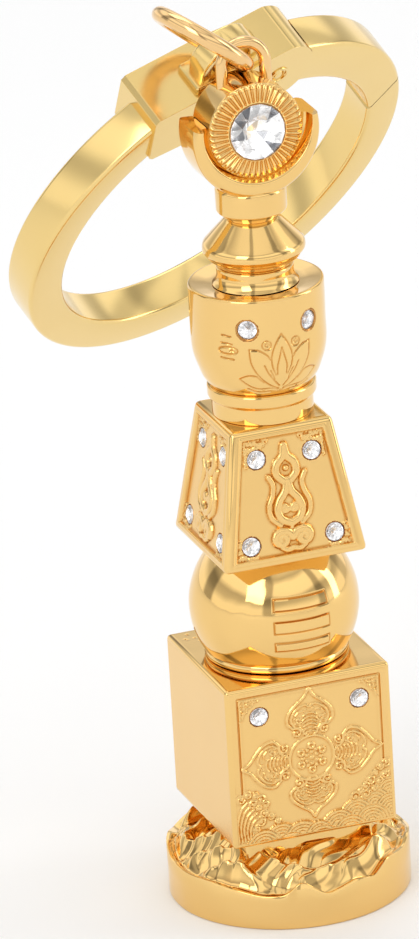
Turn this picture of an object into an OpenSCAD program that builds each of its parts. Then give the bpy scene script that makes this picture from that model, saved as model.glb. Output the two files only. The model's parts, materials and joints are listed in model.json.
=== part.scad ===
// Five-tier pagoda key-ring charm: wave base, cube, ball, pyramid, bowl, double cone,
// moon and sun, hung from a jump ring on a round key ring with a sprung gate.

/* [Base] */
// Diameter of the round base
base_d = 20; // [19.6:0.1:21]
// Height of the base's plain upright wall
base_wall_h = 3.2; // [2.8:0.1:3.6]
// Height of the tallest carved ridge above the wall
ridge_h = 2.5; // [1.5:0.1:2.8]
// Number of carved ridges around the base
ridge_count = 15; // [12:1:18]
// Width of the square pedestal under the cube
pedestal_w = 11; // [10:0.5:12]

/* [Cube] */
// Width of the cube
cube_w = 14.2; // [13.8:0.1:14.4]
// Height of the cube's underside above the ground
cube_z = 6.85; // [6.8:0.05:7]
// Height of the cube
cube_h = 13.9; // [13.5:0.1:14]
// Bevel along the cube's edges
cube_bevel = 0.35; // [0.2:0.05:0.5]

/* [Ball] */
// Radius of the ball
ball_r = 6.95; // [6.8:0.05:7.1]
// Radius of the thin collar under the ball
ball_collar_r = 5.92; // [5.7:0.02:6.2]
// Height of that collar
ball_collar_h = 0.75; // [0.6:0.05:0.9]
// Height of the ball between its two flats
ball_h = 8.85; // [8.7:0.05:9]

/* [Pyramid] */
// Width of the pyramid at its bottom edge
pyramid_bottom_w = 12.32; // [12:0.02:12.6]
// Width of the pyramid at its top edge
pyramid_top_w = 8.7; // [8.4:0.1:9]
// Height of the pyramid
pyramid_h = 11.35; // [11:0.05:11.6]
// Width of the raised border round each face
border_w = 0.8; // [0.6:0.05:1]
// Depth of the sunk panel inside the border
panel_depth = 0.3; // [0.2:0.05:0.4]

/* [Bowl and finial] */
// Radius of the collar's flange under the bowl
bowl_collar_r = 4.45; // [4.3:0.05:4.6]
// Height of the collar under the bowl
bowl_collar_h = 2.6; // [2.4:0.1:2.8]
// Radius of the bowl
bowl_r = 5.5; // [5.3:0.05:5.6]
// Height of the bowl
bowl_h = 8.6; // [8.4:0.1:8.8]
// Radius of the neck ring on the bowl
neck_r = 3.16; // [3:0.02:3.3]
// Height of the neck ring
neck_h = 1.55; // [1.4:0.05:1.7]
// Largest radius of the double cone
cone_r = 4.2; // [4:0.05:4.4]
// Height of the double cone
cone_h = 4; // [3.8:0.1:4.2]

/* [Moon and sun] */
// Outer radius of the crescent moon
moon_r = 5.35; // [5.25:0.05:5.4]
// Front-to-back thickness of the moon
moon_t = 3.85; // [3.7:0.05:4]
// Height of the sun's centre
sun_z = 66.1; // [66:0.05:66.2]
// Radius of the sun disc
sun_r = 3.97; // [3.95:0.01:4]
// How far the sun disc's front face stands in front of the charm's axis
sun_front = 2.6; // [2.5:0.05:2.7]
// Front-to-back thickness of the sun disc
sun_t = 4.7; // [4.5:0.1:4.8]
// Radius of the eyelet's wire on the sun disc
eyelet_wire_r = 0.5; // [0.45:0.05:0.55]
// Bend radius of that eyelet, at the middle of the wire
eyelet_bend_r = 1.85; // [1.8:0.05:1.95]

/* [Crystals] */
// Radius of the large crystal in the sun
sun_crystal_r = 2.34; // [2.2:0.02:2.4]
// Radius of the small crystals
crystal_r = 0.76; // [0.72:0.02:0.8]
// Depth of a small crystal's seat
seat_depth = 0.55; // [0.5:0.05:0.6]

/* [Jump ring] */
// Radius of the jump ring at the middle of its wire
link_r = 3.93; // [3.9:0.01:4]
// Radius of the jump ring's wire
link_wire_r = 0.68; // [0.65:0.01:0.7]

/* [Key ring] */
// Outer radius of the key ring
ring_out_r = 18.2; // [18:0.1:18.4]
// Inner radius of the key ring's fixed arm
ring_in_r = 14.95; // [14.9:0.05:15.05]
// Thickness of the key ring along its axis
ring_t = 3.4; // [3.3:0.1:3.5]
// Height of the clasp block's flat top above the key ring's centre
block_top = 18.1; // [18:0.05:18.2]
// Thickness of the clasp block at its left end
block_t = 5.1; // [5:0.05:5.3]
// Thickness of the gate's hinge tab
tab_t = 1.2; // [1.1:0.05:1.25]
// Radius of the gate's hinge pin
pin_r = 0.55; // [0.5:0.05:0.55]
// Inner half-width of the eyelet on the clasp block
hook_in_r = 1.8; // [1.75:0.05:1.85]

/* [Hidden] */
$fn = 64;
eps = 0.01;
gold = "goldenrod";
copper_gold = "peru";
pale_gold = "khaki";
crystal_tint = "lightcyan";

// Heights of the tiers, stacked from the cube's top upwards
cube_top = cube_z + cube_h;
ball_z = cube_top + ball_collar_h;
ball_top = ball_z + ball_h;
ball_centre_z = 25.03;
pyramid_top = ball_top + pyramid_h;
bowl_z = pyramid_top + bowl_collar_h;
bowl_top = bowl_z + bowl_h;
neck_dish = 0.2;
neck_z = bowl_top - neck_dish;
cone_z = neck_z + neck_h;
cone_top = cone_z + cone_h;

// Central screw and spigot
screw_r = 1.25;
screw_hole_r = 1.3;
screw_top = 49.2;
screw_head_r = 2.2;
screw_head_h = 1.2;
counterbore_r = 2.3;
screw_hole_deep = 0.3;
spigot_r = 1.2;
spigot_hole_r = 1.22;
spigot_z = 50.2;

// Pyramid faces: the slope, and a frame that lies on one face
face_rise = (pyramid_bottom_w - pyramid_top_w) / 2;
face_tilt = atan(face_rise / pyramid_h);
face_len = sqrt(pyramid_h * pyramid_h + face_rise * face_rise);

// Places of the small crystals
cube_gem_x = 4.34;
cube_gem_z = 18.1;
pyramid_gems = [[-2.38, 8.95], [2.38, 8.95], [-3.6, 1.95], [3.6, 1.95]];
bowl_gem_angle = 28.8;
bowl_gem_z = 50.4;

// Turning a vector through rotate()'s three angles
function about_x(v, a) = [v[0], v[1] * cos(a) - v[2] * sin(a), v[1] * sin(a) + v[2] * cos(a)];
function about_y(v, a) = [v[0] * cos(a) + v[2] * sin(a), v[1], v[2] * cos(a) - v[0] * sin(a)];
function about_z(v, a) = [v[0] * cos(a) - v[1] * sin(a), v[0] * sin(a) + v[1] * cos(a), v[2]];
function turned(v, r) = about_z(about_y(about_x(v, r[0]), r[1]), r[2]);

// Jump ring: it passes through the sun's eyelet at hang_point, and through the clasp
// block's eyelet at hook_point, a hook_angle further round
eyelet_centre_z = 71.05;
eyelet_leg_z = sun_z + 2.4;
hang_point = [0, -0.6, 71.25];
link_turn = [-25, 31, -32];
link_centre = hang_point - turned([link_r, 0, 0], link_turn);
hook_angle = 60;
hook_point = link_centre
    + turned([link_r * cos(hook_angle), link_r * sin(hook_angle), 0], link_turn);

// Key ring, drawn round its own axis Z with the clasp block at +Y, and hung at hook_y.
// ring_slack is how far its eyelet hangs off the middle of the jump ring's wire.
ring_turn = [127, -14.5, 9.5];
pad_h = 0.7;
pad_w = 6.8;
pad_t = 2.8;
hook_t = 2;
hook_wall = 0.9;
hook_bend_y = block_top + pad_h + 0.7;
hook_y = hook_bend_y + 0.1;
ring_slack = [0.11, 0.31, -0.13];
arm_start = 107;
arm_end = 374;
gate_reach = 17.15;
gate_gap = 0.1;
edge_bevel = 0.3;
block_left = 7.9;
block_bottom = 12.6;
block_back = 0.575;
thin_t = 4.6;
pin_at = [4.57, 14.95];
heel_r = 3.35;
heel_gap = 0.1;
slot_t = 2;
knuckle_r = 1.7;
knuckle_gap = 0.15;
pin_gap = 0.05;
rivet_r = 0.95;
rivet_h = 0.15;
gate_cut_at = [0.15, -1.4];
gate_cut_r = 15.1;

function arc(cx, cy, r, from, to, steps) =
    [for (i = [0:steps]) [cx + r * cos(from + (to - from) * i / steps),
                          cy + r * sin(from + (to - from) * i / steps)]];

function bevelled(w, h, b) =
    [[-w / 2 + b, -h / 2], [w / 2 - b, -h / 2], [w / 2, -h / 2 + b], [w / 2, h / 2 - b],
     [w / 2 - b, h / 2], [-w / 2 + b, h / 2], [-w / 2, h / 2 - b], [-w / 2, -h / 2 + b]];

module screw_hole(z, h) {
    translate([0, 0, z - eps]) cylinder(r = screw_hole_r, h = h + 2 * eps);
}

// A seat that a small crystal sits in, sunk along -Z from the face
module seat() {
    translate([0, 0, -seat_depth]) cylinder(r = crystal_r, h = seat_depth + 1);
}

// A small crystal: point down, girdle, crown and flat table
module crystal() {
    rotate_extrude()
        polygon([[0, -seat_depth], [0.5, -seat_depth], [crystal_r, -0.15], [crystal_r, 0],
                 [0.45, 0.2], [0, 0.2]]);
}

// Places its children on the cube's front and back faces, Z pointing outwards
module on_cube_gems() {
    for (turn = [0, 180]) {
        for (side = [-1, 1]) {
            rotate([0, 0, turn])
                translate([side * cube_gem_x, -cube_w / 2, cube_gem_z])
                rotate([90, 0, 0])
                children();
        }
    }
}

// Puts its children on each sloping face: X across, Y up the slope, Z outwards
module on_pyramid_faces() {
    for (turn = [0:90:270]) {
        rotate([0, 0, turn])
            translate([0, -pyramid_bottom_w / 2, ball_top])
            rotate([90 - face_tilt, 0, 0])
            children();
    }
}

module on_bowl_gems() {
    for (turn = [0, 180]) {
        for (side = [-1, 1]) {
            rotate([0, 0, turn + side * bowl_gem_angle])
                translate([0, -bowl_r + 0.05, bowl_gem_z])
                rotate([90, 0, 0])
                children();
        }
    }
}

// Places the key ring's pieces, drawn flat, where the ring hangs
module on_ring() {
    translate(hook_point + ring_slack)
        rotate(ring_turn)
        translate([0, -hook_y, 0])
        children();
}

module base_ridge(h) {
    translate([5.2, 0, base_wall_h - eps])
        rotate([90, 0, 90])
        linear_extrude(4.4)
        polygon([[-1.5, 0], [1.5, 0], [0.3, h]]);
}

module wave_base() {
    color(gold)
    difference() {
        union() {
            cylinder(r = base_d / 2, h = base_wall_h);
            for (i = [0:ridge_count - 1]) {
                rotate([0, 0, i * 360 / ridge_count])
                    base_ridge(ridge_h * (0.75 + 0.25 * sin(i * 137)));
            }
            translate([-pedestal_w / 2, -pedestal_w / 2, base_wall_h - eps])
                cube([pedestal_w, pedestal_w, cube_z - base_wall_h + eps]);
        }
        screw_hole(0, cube_z);
        translate([0, 0, -eps]) cylinder(r = counterbore_r, h = screw_head_h + eps);
    }
}

module earth_cube() {
    color(gold)
    difference() {
        translate([0, 0, cube_z + cube_h / 2]) intersection() {
            linear_extrude(cube_h, center = true)
                polygon(bevelled(cube_w, cube_w, cube_bevel));
            rotate([90, 0, 0]) linear_extrude(cube_w, center = true)
                polygon(bevelled(cube_w, cube_h, cube_bevel));
            rotate([90, 0, 90]) linear_extrude(cube_w, center = true)
                polygon(bevelled(cube_w, cube_h, cube_bevel));
        }
        screw_hole(cube_z, cube_h);
        on_cube_gems() seat();
    }
}

module ball_collar() {
    color(pale_gold)
    difference() {
        translate([0, 0, cube_top]) cylinder(r = ball_collar_r, h = ball_collar_h);
        screw_hole(cube_top, ball_collar_h);
    }
}

module water_ball() {
    color(gold)
    difference() {
        intersection() {
            translate([0, 0, ball_centre_z]) sphere(r = ball_r);
            translate([0, 0, ball_z]) cylinder(r = ball_r + 1, h = ball_h);
        }
        screw_hole(ball_z, ball_h);
    }
}

// One sunk panel, from just outside the face down to its floor
module sunk_panel() {
    low_w = pyramid_bottom_w / 2 - 1.35 * border_w;
    high_w = pyramid_top_w / 2 - 1.05 * border_w;
    translate([0, 0, -panel_depth]) linear_extrude(panel_depth + 1)
        polygon([[-low_w, border_w], [low_w, border_w],
                 [high_w, face_len - border_w], [-high_w, face_len - border_w]]);
}

module pyramid_side() {
    linear_extrude(pyramid_bottom_w + 2, center = true)
        polygon([[-pyramid_bottom_w / 2, 0], [pyramid_bottom_w / 2, 0],
                 [pyramid_top_w / 2, pyramid_h], [-pyramid_top_w / 2, pyramid_h]]);
}

module fire_pyramid() {
    color(gold)
    difference() {
        translate([0, 0, ball_top]) intersection() {
            rotate([90, 0, 0]) pyramid_side();
            rotate([90, 0, 90]) pyramid_side();
        }
        on_pyramid_faces() sunk_panel();
        on_pyramid_faces() {
            for (gem = pyramid_gems) {
                translate([gem[0], gem[1], -panel_depth]) seat();
            }
        }
        screw_hole(ball_top, pyramid_h);
    }
}

module bowl_collar() {
    flange_z = bowl_collar_h - 1;
    color(gold)
    translate([0, 0, pyramid_top])
    rotate_extrude()
        polygon([[screw_hole_r, 0], [bowl_collar_r - 0.3, 0], [bowl_collar_r - 0.3, flange_z - 0.2],
                 [bowl_collar_r, flange_z], [bowl_collar_r, bowl_collar_h - 0.2],
                 [bowl_collar_r - 0.2, bowl_collar_h], [screw_hole_r, bowl_collar_h]]);
}

module wind_bowl() {
    foot_r = 4.2;
    color(gold)
    difference() {
        translate([0, 0, bowl_z]) rotate_extrude()
            polygon(concat([[0, 0], [foot_r, 0]],
                           arc(bowl_r - 2.6, 2.6, 2.6, -55, 0, 6),
                           arc(bowl_r - 0.6, bowl_h - 0.6, 0.6, 0, 90, 5),
                           [[neck_r + 0.66, bowl_h - neck_dish], [0, bowl_h - neck_dish]]));
        translate([0, 0, bowl_z - eps])
            cylinder(r = screw_r, h = screw_top + screw_hole_deep - bowl_z);
        translate([0, 0, spigot_z]) cylinder(r = spigot_hole_r, h = bowl_top - spigot_z);
        on_bowl_gems() seat();
    }
}

module neck_ring() {
    color(pale_gold)
    translate([0, 0, neck_z])
    rotate_extrude()
        polygon([[spigot_hole_r, 0], [neck_r + 0.4, 0], [neck_r + 0.12, 0.35], [neck_r, 0.8],
                 [neck_r, neck_h], [spigot_hole_r, neck_h]]);
}

module double_cone() {
    color(gold)
    translate([0, 0, cone_z])
    rotate_extrude()
        polygon([[spigot_hole_r, 0], [3.2, 0], [3.35, 0.25], [cone_r - 0.12, 1.2], [cone_r, 1.5],
                 [cone_r - 0.08, 1.75], [2.2, cone_h], [spigot_hole_r, cone_h]]);
}

module moon_holder() {
    neck_top = sun_z - 5.15;
    tip_z = sun_z + 0.75;
    back_y = 1.75;
    front_y = back_y - moon_t;
    inner_r = 4.45;
    inner_z = sun_z + 0.6;
    lip_r = 4.9;
    lip_z = sun_z + 0.3;
    lip_depth = 0.9;
    stem_r = 2.88;
    color(gold)
    difference() {
        union() {
            rotate_extrude()
                polygon([[0, spigot_z + 0.2], [spigot_r, spigot_z + 0.2], [spigot_r, cone_top],
                         [2.2, cone_top], [stem_r, cone_top + 0.7], [stem_r, neck_top - 0.6],
                         [2.4, neck_top], [0, neck_top]]);
            translate([0, back_y, sun_z - 0.3])
                rotate([90, 0, 0])
                cylinder(r = moon_r, h = moon_t);
        }
        translate([0, front_y + lip_depth, lip_z])
            rotate([90, 0, 0])
            cylinder(r1 = lip_r - 0.6, r2 = lip_r + 0.1, h = lip_depth + 0.15);
        translate([0, moon_t, inner_z]) rotate([90, 0, 0]) cylinder(r = inner_r, h = 2 * moon_t);
        translate([0, moon_t, sun_z]) rotate([90, 0, 0]) cylinder(r = sun_r, h = 2 * moon_t);
        translate([-8, -4, tip_z]) cube([16, 8, 8]);
    }
}

module sun_disc() {
    setting_depth = 1.5;
    color(copper_gold)
    difference() {
        translate([0, sun_t - sun_front, sun_z])
            rotate([90, 0, 0])
            cylinder(r = sun_r, h = sun_t);
        translate([0, -sun_front + setting_depth, sun_z])
            rotate([90, 0, 0])
            cylinder(r = sun_crystal_r, h = 2);
        for (side = [-1, 1]) {
            translate([side * eyelet_bend_r, 0, eyelet_leg_z])
                cylinder(r = eyelet_wire_r, h = sun_r);
        }
    }
}

module sun_eyelet() {
    color(copper_gold)
    union() {
        translate([0, 0, eyelet_centre_z])
            rotate([90, 0, 0])
            rotate_extrude(angle = 180)
            translate([eyelet_bend_r, 0])
            circle(r = eyelet_wire_r);
        for (side = [-1, 1]) {
            translate([side * eyelet_bend_r, 0, eyelet_leg_z])
                cylinder(r = eyelet_wire_r, h = eyelet_centre_z - eyelet_leg_z);
        }
    }
}

module sun_crystal() {
    color(crystal_tint)
    translate([0, -sun_front, sun_z])
    rotate([90, 0, 0])
    rotate_extrude()
        polygon([[0, -1.5], [0.5, -1.5], [sun_crystal_r, -0.3], [sun_crystal_r, 0],
                 [1.35, 0.65], [0, 0.65]]);
}

module cube_crystals() {
    color(crystal_tint) on_cube_gems() crystal();
}

module pyramid_crystals() {
    color(crystal_tint)
    on_pyramid_faces() {
        for (gem = pyramid_gems) {
            translate([gem[0], gem[1], -panel_depth]) crystal();
        }
    }
}

module bowl_crystals() {
    color(crystal_tint) on_bowl_gems() crystal();
}

module tie_screw() {
    color("silver")
    union() {
        cylinder(r = screw_head_r, h = screw_head_h);
        cylinder(r = screw_r, h = screw_top);
    }
}

module jump_ring() {
    color(copper_gold)
    translate(link_centre)
    rotate(link_turn)
    rotate_extrude()
    translate([link_r, 0])
    circle(r = link_wire_r);
}

// The room that the gate's free end turns in, round the hinge pin and away from the block
module gate_sweep(r) {
    intersection() {
        translate([pin_at[0], pin_at[1], -5]) cylinder(r = r, h = 10);
        translate([pin_at[0] + heel_r, -5, -5]) cube([20, 25, 10]);
    }
}

// The fixed arm's bar, from inside the clasp block round to the gate's free end
module arm_bar() {
    w = ring_out_r - ring_in_r;
    difference() {
        rotate([0, 0, arm_start])
            rotate_extrude(angle = arm_end - arm_start)
            translate([(ring_out_r + ring_in_r) / 2, 0])
            polygon(bevelled(w, ring_t, edge_bevel));
        gate_sweep(gate_reach + gate_gap);
    }
}

module ring_arm() {
    color(pale_gold) on_ring() arm_bar();
}

// The block's outline seen along the ring's axis: a straight bar with a round heel
module block_outline() {
    union() {
        polygon([[-block_left, block_bottom + 0.3], [-block_left + 0.3, block_bottom],
                 [pin_at[0], pin_at[1] - heel_r], [pin_at[0], block_top],
                 [-block_left + 0.6, block_top], [-block_left + 0.2, block_top - 0.4]]);
        intersection() {
            translate(pin_at) circle(r = heel_r);
            translate([pin_at[0] - eps, 0]) square([10, block_top]);
        }
    }
}

module block_side() {
    polygon([[-block_left, -block_t / 2], [0, -block_t / 2], [2.2, -thin_t / 2],
             [9, -thin_t / 2], [9, thin_t / 2], [2.2, thin_t / 2], [0, block_t / 2],
             [-block_left, block_t / 2]]);
}

module clasp_block() {
    color(pale_gold)
    on_ring()
    difference() {
        translate([0, 0, -block_back])
            intersection() {
                linear_extrude(block_t + 1, center = true) block_outline();
                translate([0, 20, 0]) rotate([90, 0, 0]) linear_extrude(12) block_side();
            }
        arm_bar();
        translate([pin_at[0] - knuckle_r - knuckle_gap, 8, -slot_t / 2])
            cube([8, pin_at[1] + knuckle_r + 0.2 - 8, slot_t]);
        translate([pin_at[0], pin_at[1], -5]) cylinder(r = pin_r, h = 10);
    }
}

module block_eyelet() {
    out_r = hook_in_r + hook_wall;
    color(pale_gold)
    on_ring()
    union() {
        translate([-pad_w / 2, block_top, -pad_t / 2]) cube([pad_w, pad_h, pad_t]);
        translate([0, hook_bend_y, 0])
            rotate_extrude(angle = 180)
            translate([hook_in_r, -hook_t / 2])
            square([hook_wall, hook_t]);
        for (x = [-out_r, hook_in_r]) {
            translate([x, block_top + pad_h - eps, -hook_t / 2])
                cube([hook_wall, hook_bend_y - block_top - pad_h + 2 * eps, hook_t]);
        }
    }
}

module gate() {
    gate_from = -10;
    gate_to = 68;
    stock_in_r = 13;
    tab_low = -slot_t / 2 + pin_gap;
    color(pale_gold)
    on_ring()
    difference() {
        union() {
            difference() {
                rotate([0, 0, gate_from])
                    rotate_extrude(angle = gate_to - gate_from)
                    translate([stock_in_r, -ring_t / 2])
                    square([ring_out_r - stock_in_r, ring_t]);
                translate([gate_cut_at[0], gate_cut_at[1], -5])
                    cylinder(r = gate_cut_r, h = 10);
                translate([pin_at[0], pin_at[1], -5])
                    cylinder(r = heel_r + heel_gap, h = 10);
                difference() {
                    translate([0, -10, -6]) cube([30, 30, 12]);
                    translate([pin_at[0], pin_at[1], -7]) cylinder(r = gate_reach, h = 14);
                }
            }
            translate([0, 0, tab_low]) linear_extrude(tab_t) union() {
                translate(pin_at) circle(r = knuckle_r);
                polygon([[pin_at[0], pin_at[1] + knuckle_r], [8.8, 15.4], [9.4, 12.3],
                         [pin_at[0], pin_at[1] - knuckle_r]]);
            }
        }
        translate([pin_at[0], pin_at[1], -5]) cylinder(r = pin_r + pin_gap, h = 10);
    }
}

module gate_pin() {
    color(gold)
    on_ring()
    translate([pin_at[0], pin_at[1], -block_back])
    union() {
        cylinder(r = pin_r, h = thin_t + 2 * eps, center = true);
        for (side = [-1, 1]) {
            translate([0, 0, side * (thin_t + rivet_h) / 2])
                cylinder(r = rivet_r, h = rivet_h, center = true);
        }
    }
}

// Two turns of spring wire round the hinge pin, beside the gate's tab
module gate_spring() {
    wire_r = 0.15;
    coil_r = 0.95;
    first_z = -slot_t / 2 + pin_gap + tab_t + pin_gap + wire_r;
    color("silver")
    on_ring()
    translate([pin_at[0], pin_at[1], first_z])
    union() {
        for (turn = [0, 1]) {
            translate([0, 0, turn * 1.9 * wire_r])
                rotate_extrude()
                translate([coil_r, 0])
                circle(r = wire_r);
        }
    }
}

wave_base();
earth_cube();
ball_collar();
water_ball();
fire_pyramid();
bowl_collar();
wind_bowl();
neck_ring();
double_cone();
moon_holder();
sun_disc();
sun_eyelet();
sun_crystal();
cube_crystals();
pyramid_crystals();
bowl_crystals();
tie_screw();
jump_ring();
ring_arm();
clasp_block();
block_eyelet();
gate();
gate_pin();
gate_spring();
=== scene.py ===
"""Looks for the pagoda key-ring charm, built round its CAD frame.

Lengths are in millimetres and become metres when a mesh is made. Only material nodes, the floor and
the lights are given in metres. Pieces that carry relief are height fields, drawn with strokes, beads,
fans and seats in the coordinates of their own face.
"""
import json
import math

import bmesh
import bpy
import numpy as np
from mathutils import Matrix, Vector

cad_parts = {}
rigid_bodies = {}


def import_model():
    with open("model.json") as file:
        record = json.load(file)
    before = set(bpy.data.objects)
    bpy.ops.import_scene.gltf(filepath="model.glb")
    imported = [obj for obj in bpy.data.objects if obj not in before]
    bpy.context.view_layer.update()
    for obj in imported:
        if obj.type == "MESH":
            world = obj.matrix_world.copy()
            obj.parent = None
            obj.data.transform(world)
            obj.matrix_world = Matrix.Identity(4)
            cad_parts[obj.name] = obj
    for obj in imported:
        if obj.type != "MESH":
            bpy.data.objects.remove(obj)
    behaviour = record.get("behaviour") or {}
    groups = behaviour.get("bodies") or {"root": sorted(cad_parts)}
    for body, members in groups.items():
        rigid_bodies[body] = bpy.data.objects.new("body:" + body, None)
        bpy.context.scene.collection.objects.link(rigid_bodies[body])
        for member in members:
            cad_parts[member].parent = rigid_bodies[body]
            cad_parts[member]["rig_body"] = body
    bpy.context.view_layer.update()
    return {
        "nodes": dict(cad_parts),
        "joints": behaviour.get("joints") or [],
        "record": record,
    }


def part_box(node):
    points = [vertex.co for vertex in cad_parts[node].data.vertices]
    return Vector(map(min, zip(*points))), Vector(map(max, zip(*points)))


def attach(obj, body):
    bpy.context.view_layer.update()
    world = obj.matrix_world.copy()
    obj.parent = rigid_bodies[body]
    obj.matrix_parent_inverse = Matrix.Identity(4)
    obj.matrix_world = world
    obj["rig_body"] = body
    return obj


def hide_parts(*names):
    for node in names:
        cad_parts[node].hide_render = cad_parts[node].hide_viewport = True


MM = 0.001
FRONT = -math.pi / 2

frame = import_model()


# -------- frame values

def box_mm(node):
    low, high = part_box(node)
    return np.array(low) / MM, np.array(high) / MM


def joint(name):
    return next(j for j in frame["joints"] if j["name"] == name)


def mount(name):
    return next(m for m in frame["record"]["mounts"] if m["name"] == name)


def unit(v):
    v = np.asarray(v, float)
    return v / np.linalg.norm(v)


base_high = box_mm("wave_base")[1]
cube_low, cube_high = box_mm("earth_cube")
collar_low, collar_high = box_mm("ball_collar")
ball_low, ball_high = box_mm("water_ball")
pyramid_low, pyramid_high = box_mm("fire_pyramid")
flange_low, flange_high = box_mm("bowl_collar")
bowl_low, bowl_high = box_mm("wind_bowl")
neck_low, neck_high = box_mm("neck_ring")
cone_low, cone_high = box_mm("double_cone")
moon_low, moon_high = box_mm("moon_holder")
sun_low, sun_high = box_mm("sun_disc")
eyelet_low, eyelet_high = box_mm("sun_eyelet")
screw_high = box_mm("tie_screw")[1]

BASE_R = base_high[0]
CUBE_HALF = cube_high[0]
BALL_R = ball_high[0]
BALL_CENTRE_Z = 25.03
PYRAMID_HALF = pyramid_high[0]
PYRAMID_TOP_HALF = 4.35
PYRAMID_H = pyramid_high[2] - pyramid_low[2]
BOWL_R = bowl_high[0]
SUN_R = sun_high[0]
SUN_Z = (sun_low[2] + sun_high[2]) / 2
SUN_FRONT, SUN_BACK = -sun_low[1], -sun_high[1]    # the disc's faces, measured out to the front
SUN_STONE_R = 2.34
STONE_R, STONE_DEPTH = 0.76, 0.38                  # a small stone's girdle, and its depth below it
WIRE_R = eyelet_high[1]
LINK_R, LINK_WIRE_R = 3.93, 0.68                   # the jump ring to its wire's middle, and the wire
RING_OUT_R, RING_IN_R, RING_T = 18.2, 14.95, 3.4
SCREW_BORE = 1.3               # the hole through a collar for the tie screw
SPIGOT_BORE = 1.22             # the hole for the crescent's spigot

# The key ring's own frame: its centre, its axis, and the direction of its clasp block
PIN_AT = np.array([4.57, 14.95])
ring_centre = np.array(mount("key_loop")["pos_m"]) / MM
ring_axis = unit(mount("key_loop")["axis"])
pin_arm = np.array(joint("gate_swing")["pos_m"]) / MM - ring_centre
pin_arm -= ring_axis * np.dot(pin_arm, ring_axis)
pin_side = np.cross(ring_axis, pin_arm)
pin_angle = math.atan2(PIN_AT[1], PIN_AT[0])
ring_x = unit(math.cos(pin_angle) * pin_arm - math.sin(pin_angle) * pin_side)
ring_y = np.cross(ring_axis, ring_x)

link_centre = np.array(joint("key_ring_slide")["pos_m"]) / MM
link_axis = unit(joint("key_ring_slide")["axis"])


# -------- outlines

def bearings(count):
    """Angles spread evenly round a circle."""
    return np.arange(count) * 2 * math.pi / count


def polar(radius, angle):
    return np.stack([radius * np.cos(angle), radius * np.sin(angle)], -1)


def cylindrical(radius, angle, z):
    return np.stack(np.broadcast_arrays(radius * np.cos(angle), radius * np.sin(angle), z), -1)


def rounded(points, steps=6):
    """An open outline of (x, y, radius) points, with each inner corner rounded by that radius."""
    out = [points[0][:2]]
    for before, here, after in zip(points, points[1:], points[2:]):
        p = np.array(here[:2], float)
        back, on = np.array(before[:2]) - p, np.array(after[:2]) - p
        reach = min(here[2], 0.48 * np.linalg.norm(back), 0.48 * np.linalg.norm(on))
        if reach < 1e-4:
            out.append(tuple(p))
            continue
        start, end = p + unit(back) * reach, p + unit(on) * reach
        for t in np.linspace(0, 1, steps + 1):
            out.append(tuple((1 - t) ** 2 * start + 2 * t * (1 - t) * p + t * t * end))
    out.append(points[-1][:2])
    return np.array(out, float)


def resampled(outline, step):
    """The outline with points no further than step apart."""
    out = [outline[0]]
    for a, b in zip(outline, outline[1:]):
        n = max(1, int(np.ceil(np.linalg.norm(b - a) / step)))
        out += [a + (b - a) * (k + 1) / n for k in range(n)]
    return np.array(out)


def curve(points, per=8):
    """A smooth open curve through the points."""
    p = np.array(points, float)
    p = np.vstack([2 * p[0] - p[1], p, 2 * p[-1] - p[-2]])
    out = []
    for a, b, c, d in zip(p, p[1:], p[2:], p[3:]):
        for t in np.arange(per) / per:
            out.append(0.5 * (2 * b + (c - a) * t + (2 * a - 5 * b + 4 * c - d) * t * t
                              + (3 * b - a - 3 * c + d) * t ** 3))
    return np.array(out + [p[-2]])


def spiral(centre, radius, start, turns, shrink=0.25, steps=18):
    """A curl from its outer end at angle start (degrees) in towards its centre."""
    t = np.linspace(0, 1, steps)
    return polar(radius * (1 - (1 - shrink) * t),
                 np.radians(start) + turns * 2 * math.pi * t) + centre


def arc(centre, radius, start, end, steps=14):
    return polar(radius, np.radians(np.linspace(start, end, steps))) + centre


def mirrored(points):
    return np.array(points, float) * [-1, 1]


def smooth(low, high, x):
    t = np.clip((x - low) / (high - low), 0, 1)
    return t * t * (3 - 2 * t)


def lattice(ix, iy, seed):
    n = (ix * 374761393 + iy * 668265263 + seed * 974711) & 0x7FFFFFFF
    n = ((n ^ (n >> 13)) * 1274126177) & 0x7FFFFFFF
    return ((n ^ (n >> 16)) & 0xFFFF) / 32767.5 - 1


def noise(x, y, seed=0):
    """Smooth value noise between -1 and 1."""
    ix, iy = np.floor(x).astype(np.int64), np.floor(y).astype(np.int64)
    fx, fy = x - ix, y - iy
    sx, sy = fx * fx * (3 - 2 * fx), fy * fy * (3 - 2 * fy)
    low = lattice(ix, iy, seed) * (1 - sx) + lattice(ix + 1, iy, seed) * sx
    high = lattice(ix, iy + 1, seed) * (1 - sx) + lattice(ix + 1, iy + 1, seed) * sx
    return low * (1 - sy) + high * sy


# -------- relief

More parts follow.
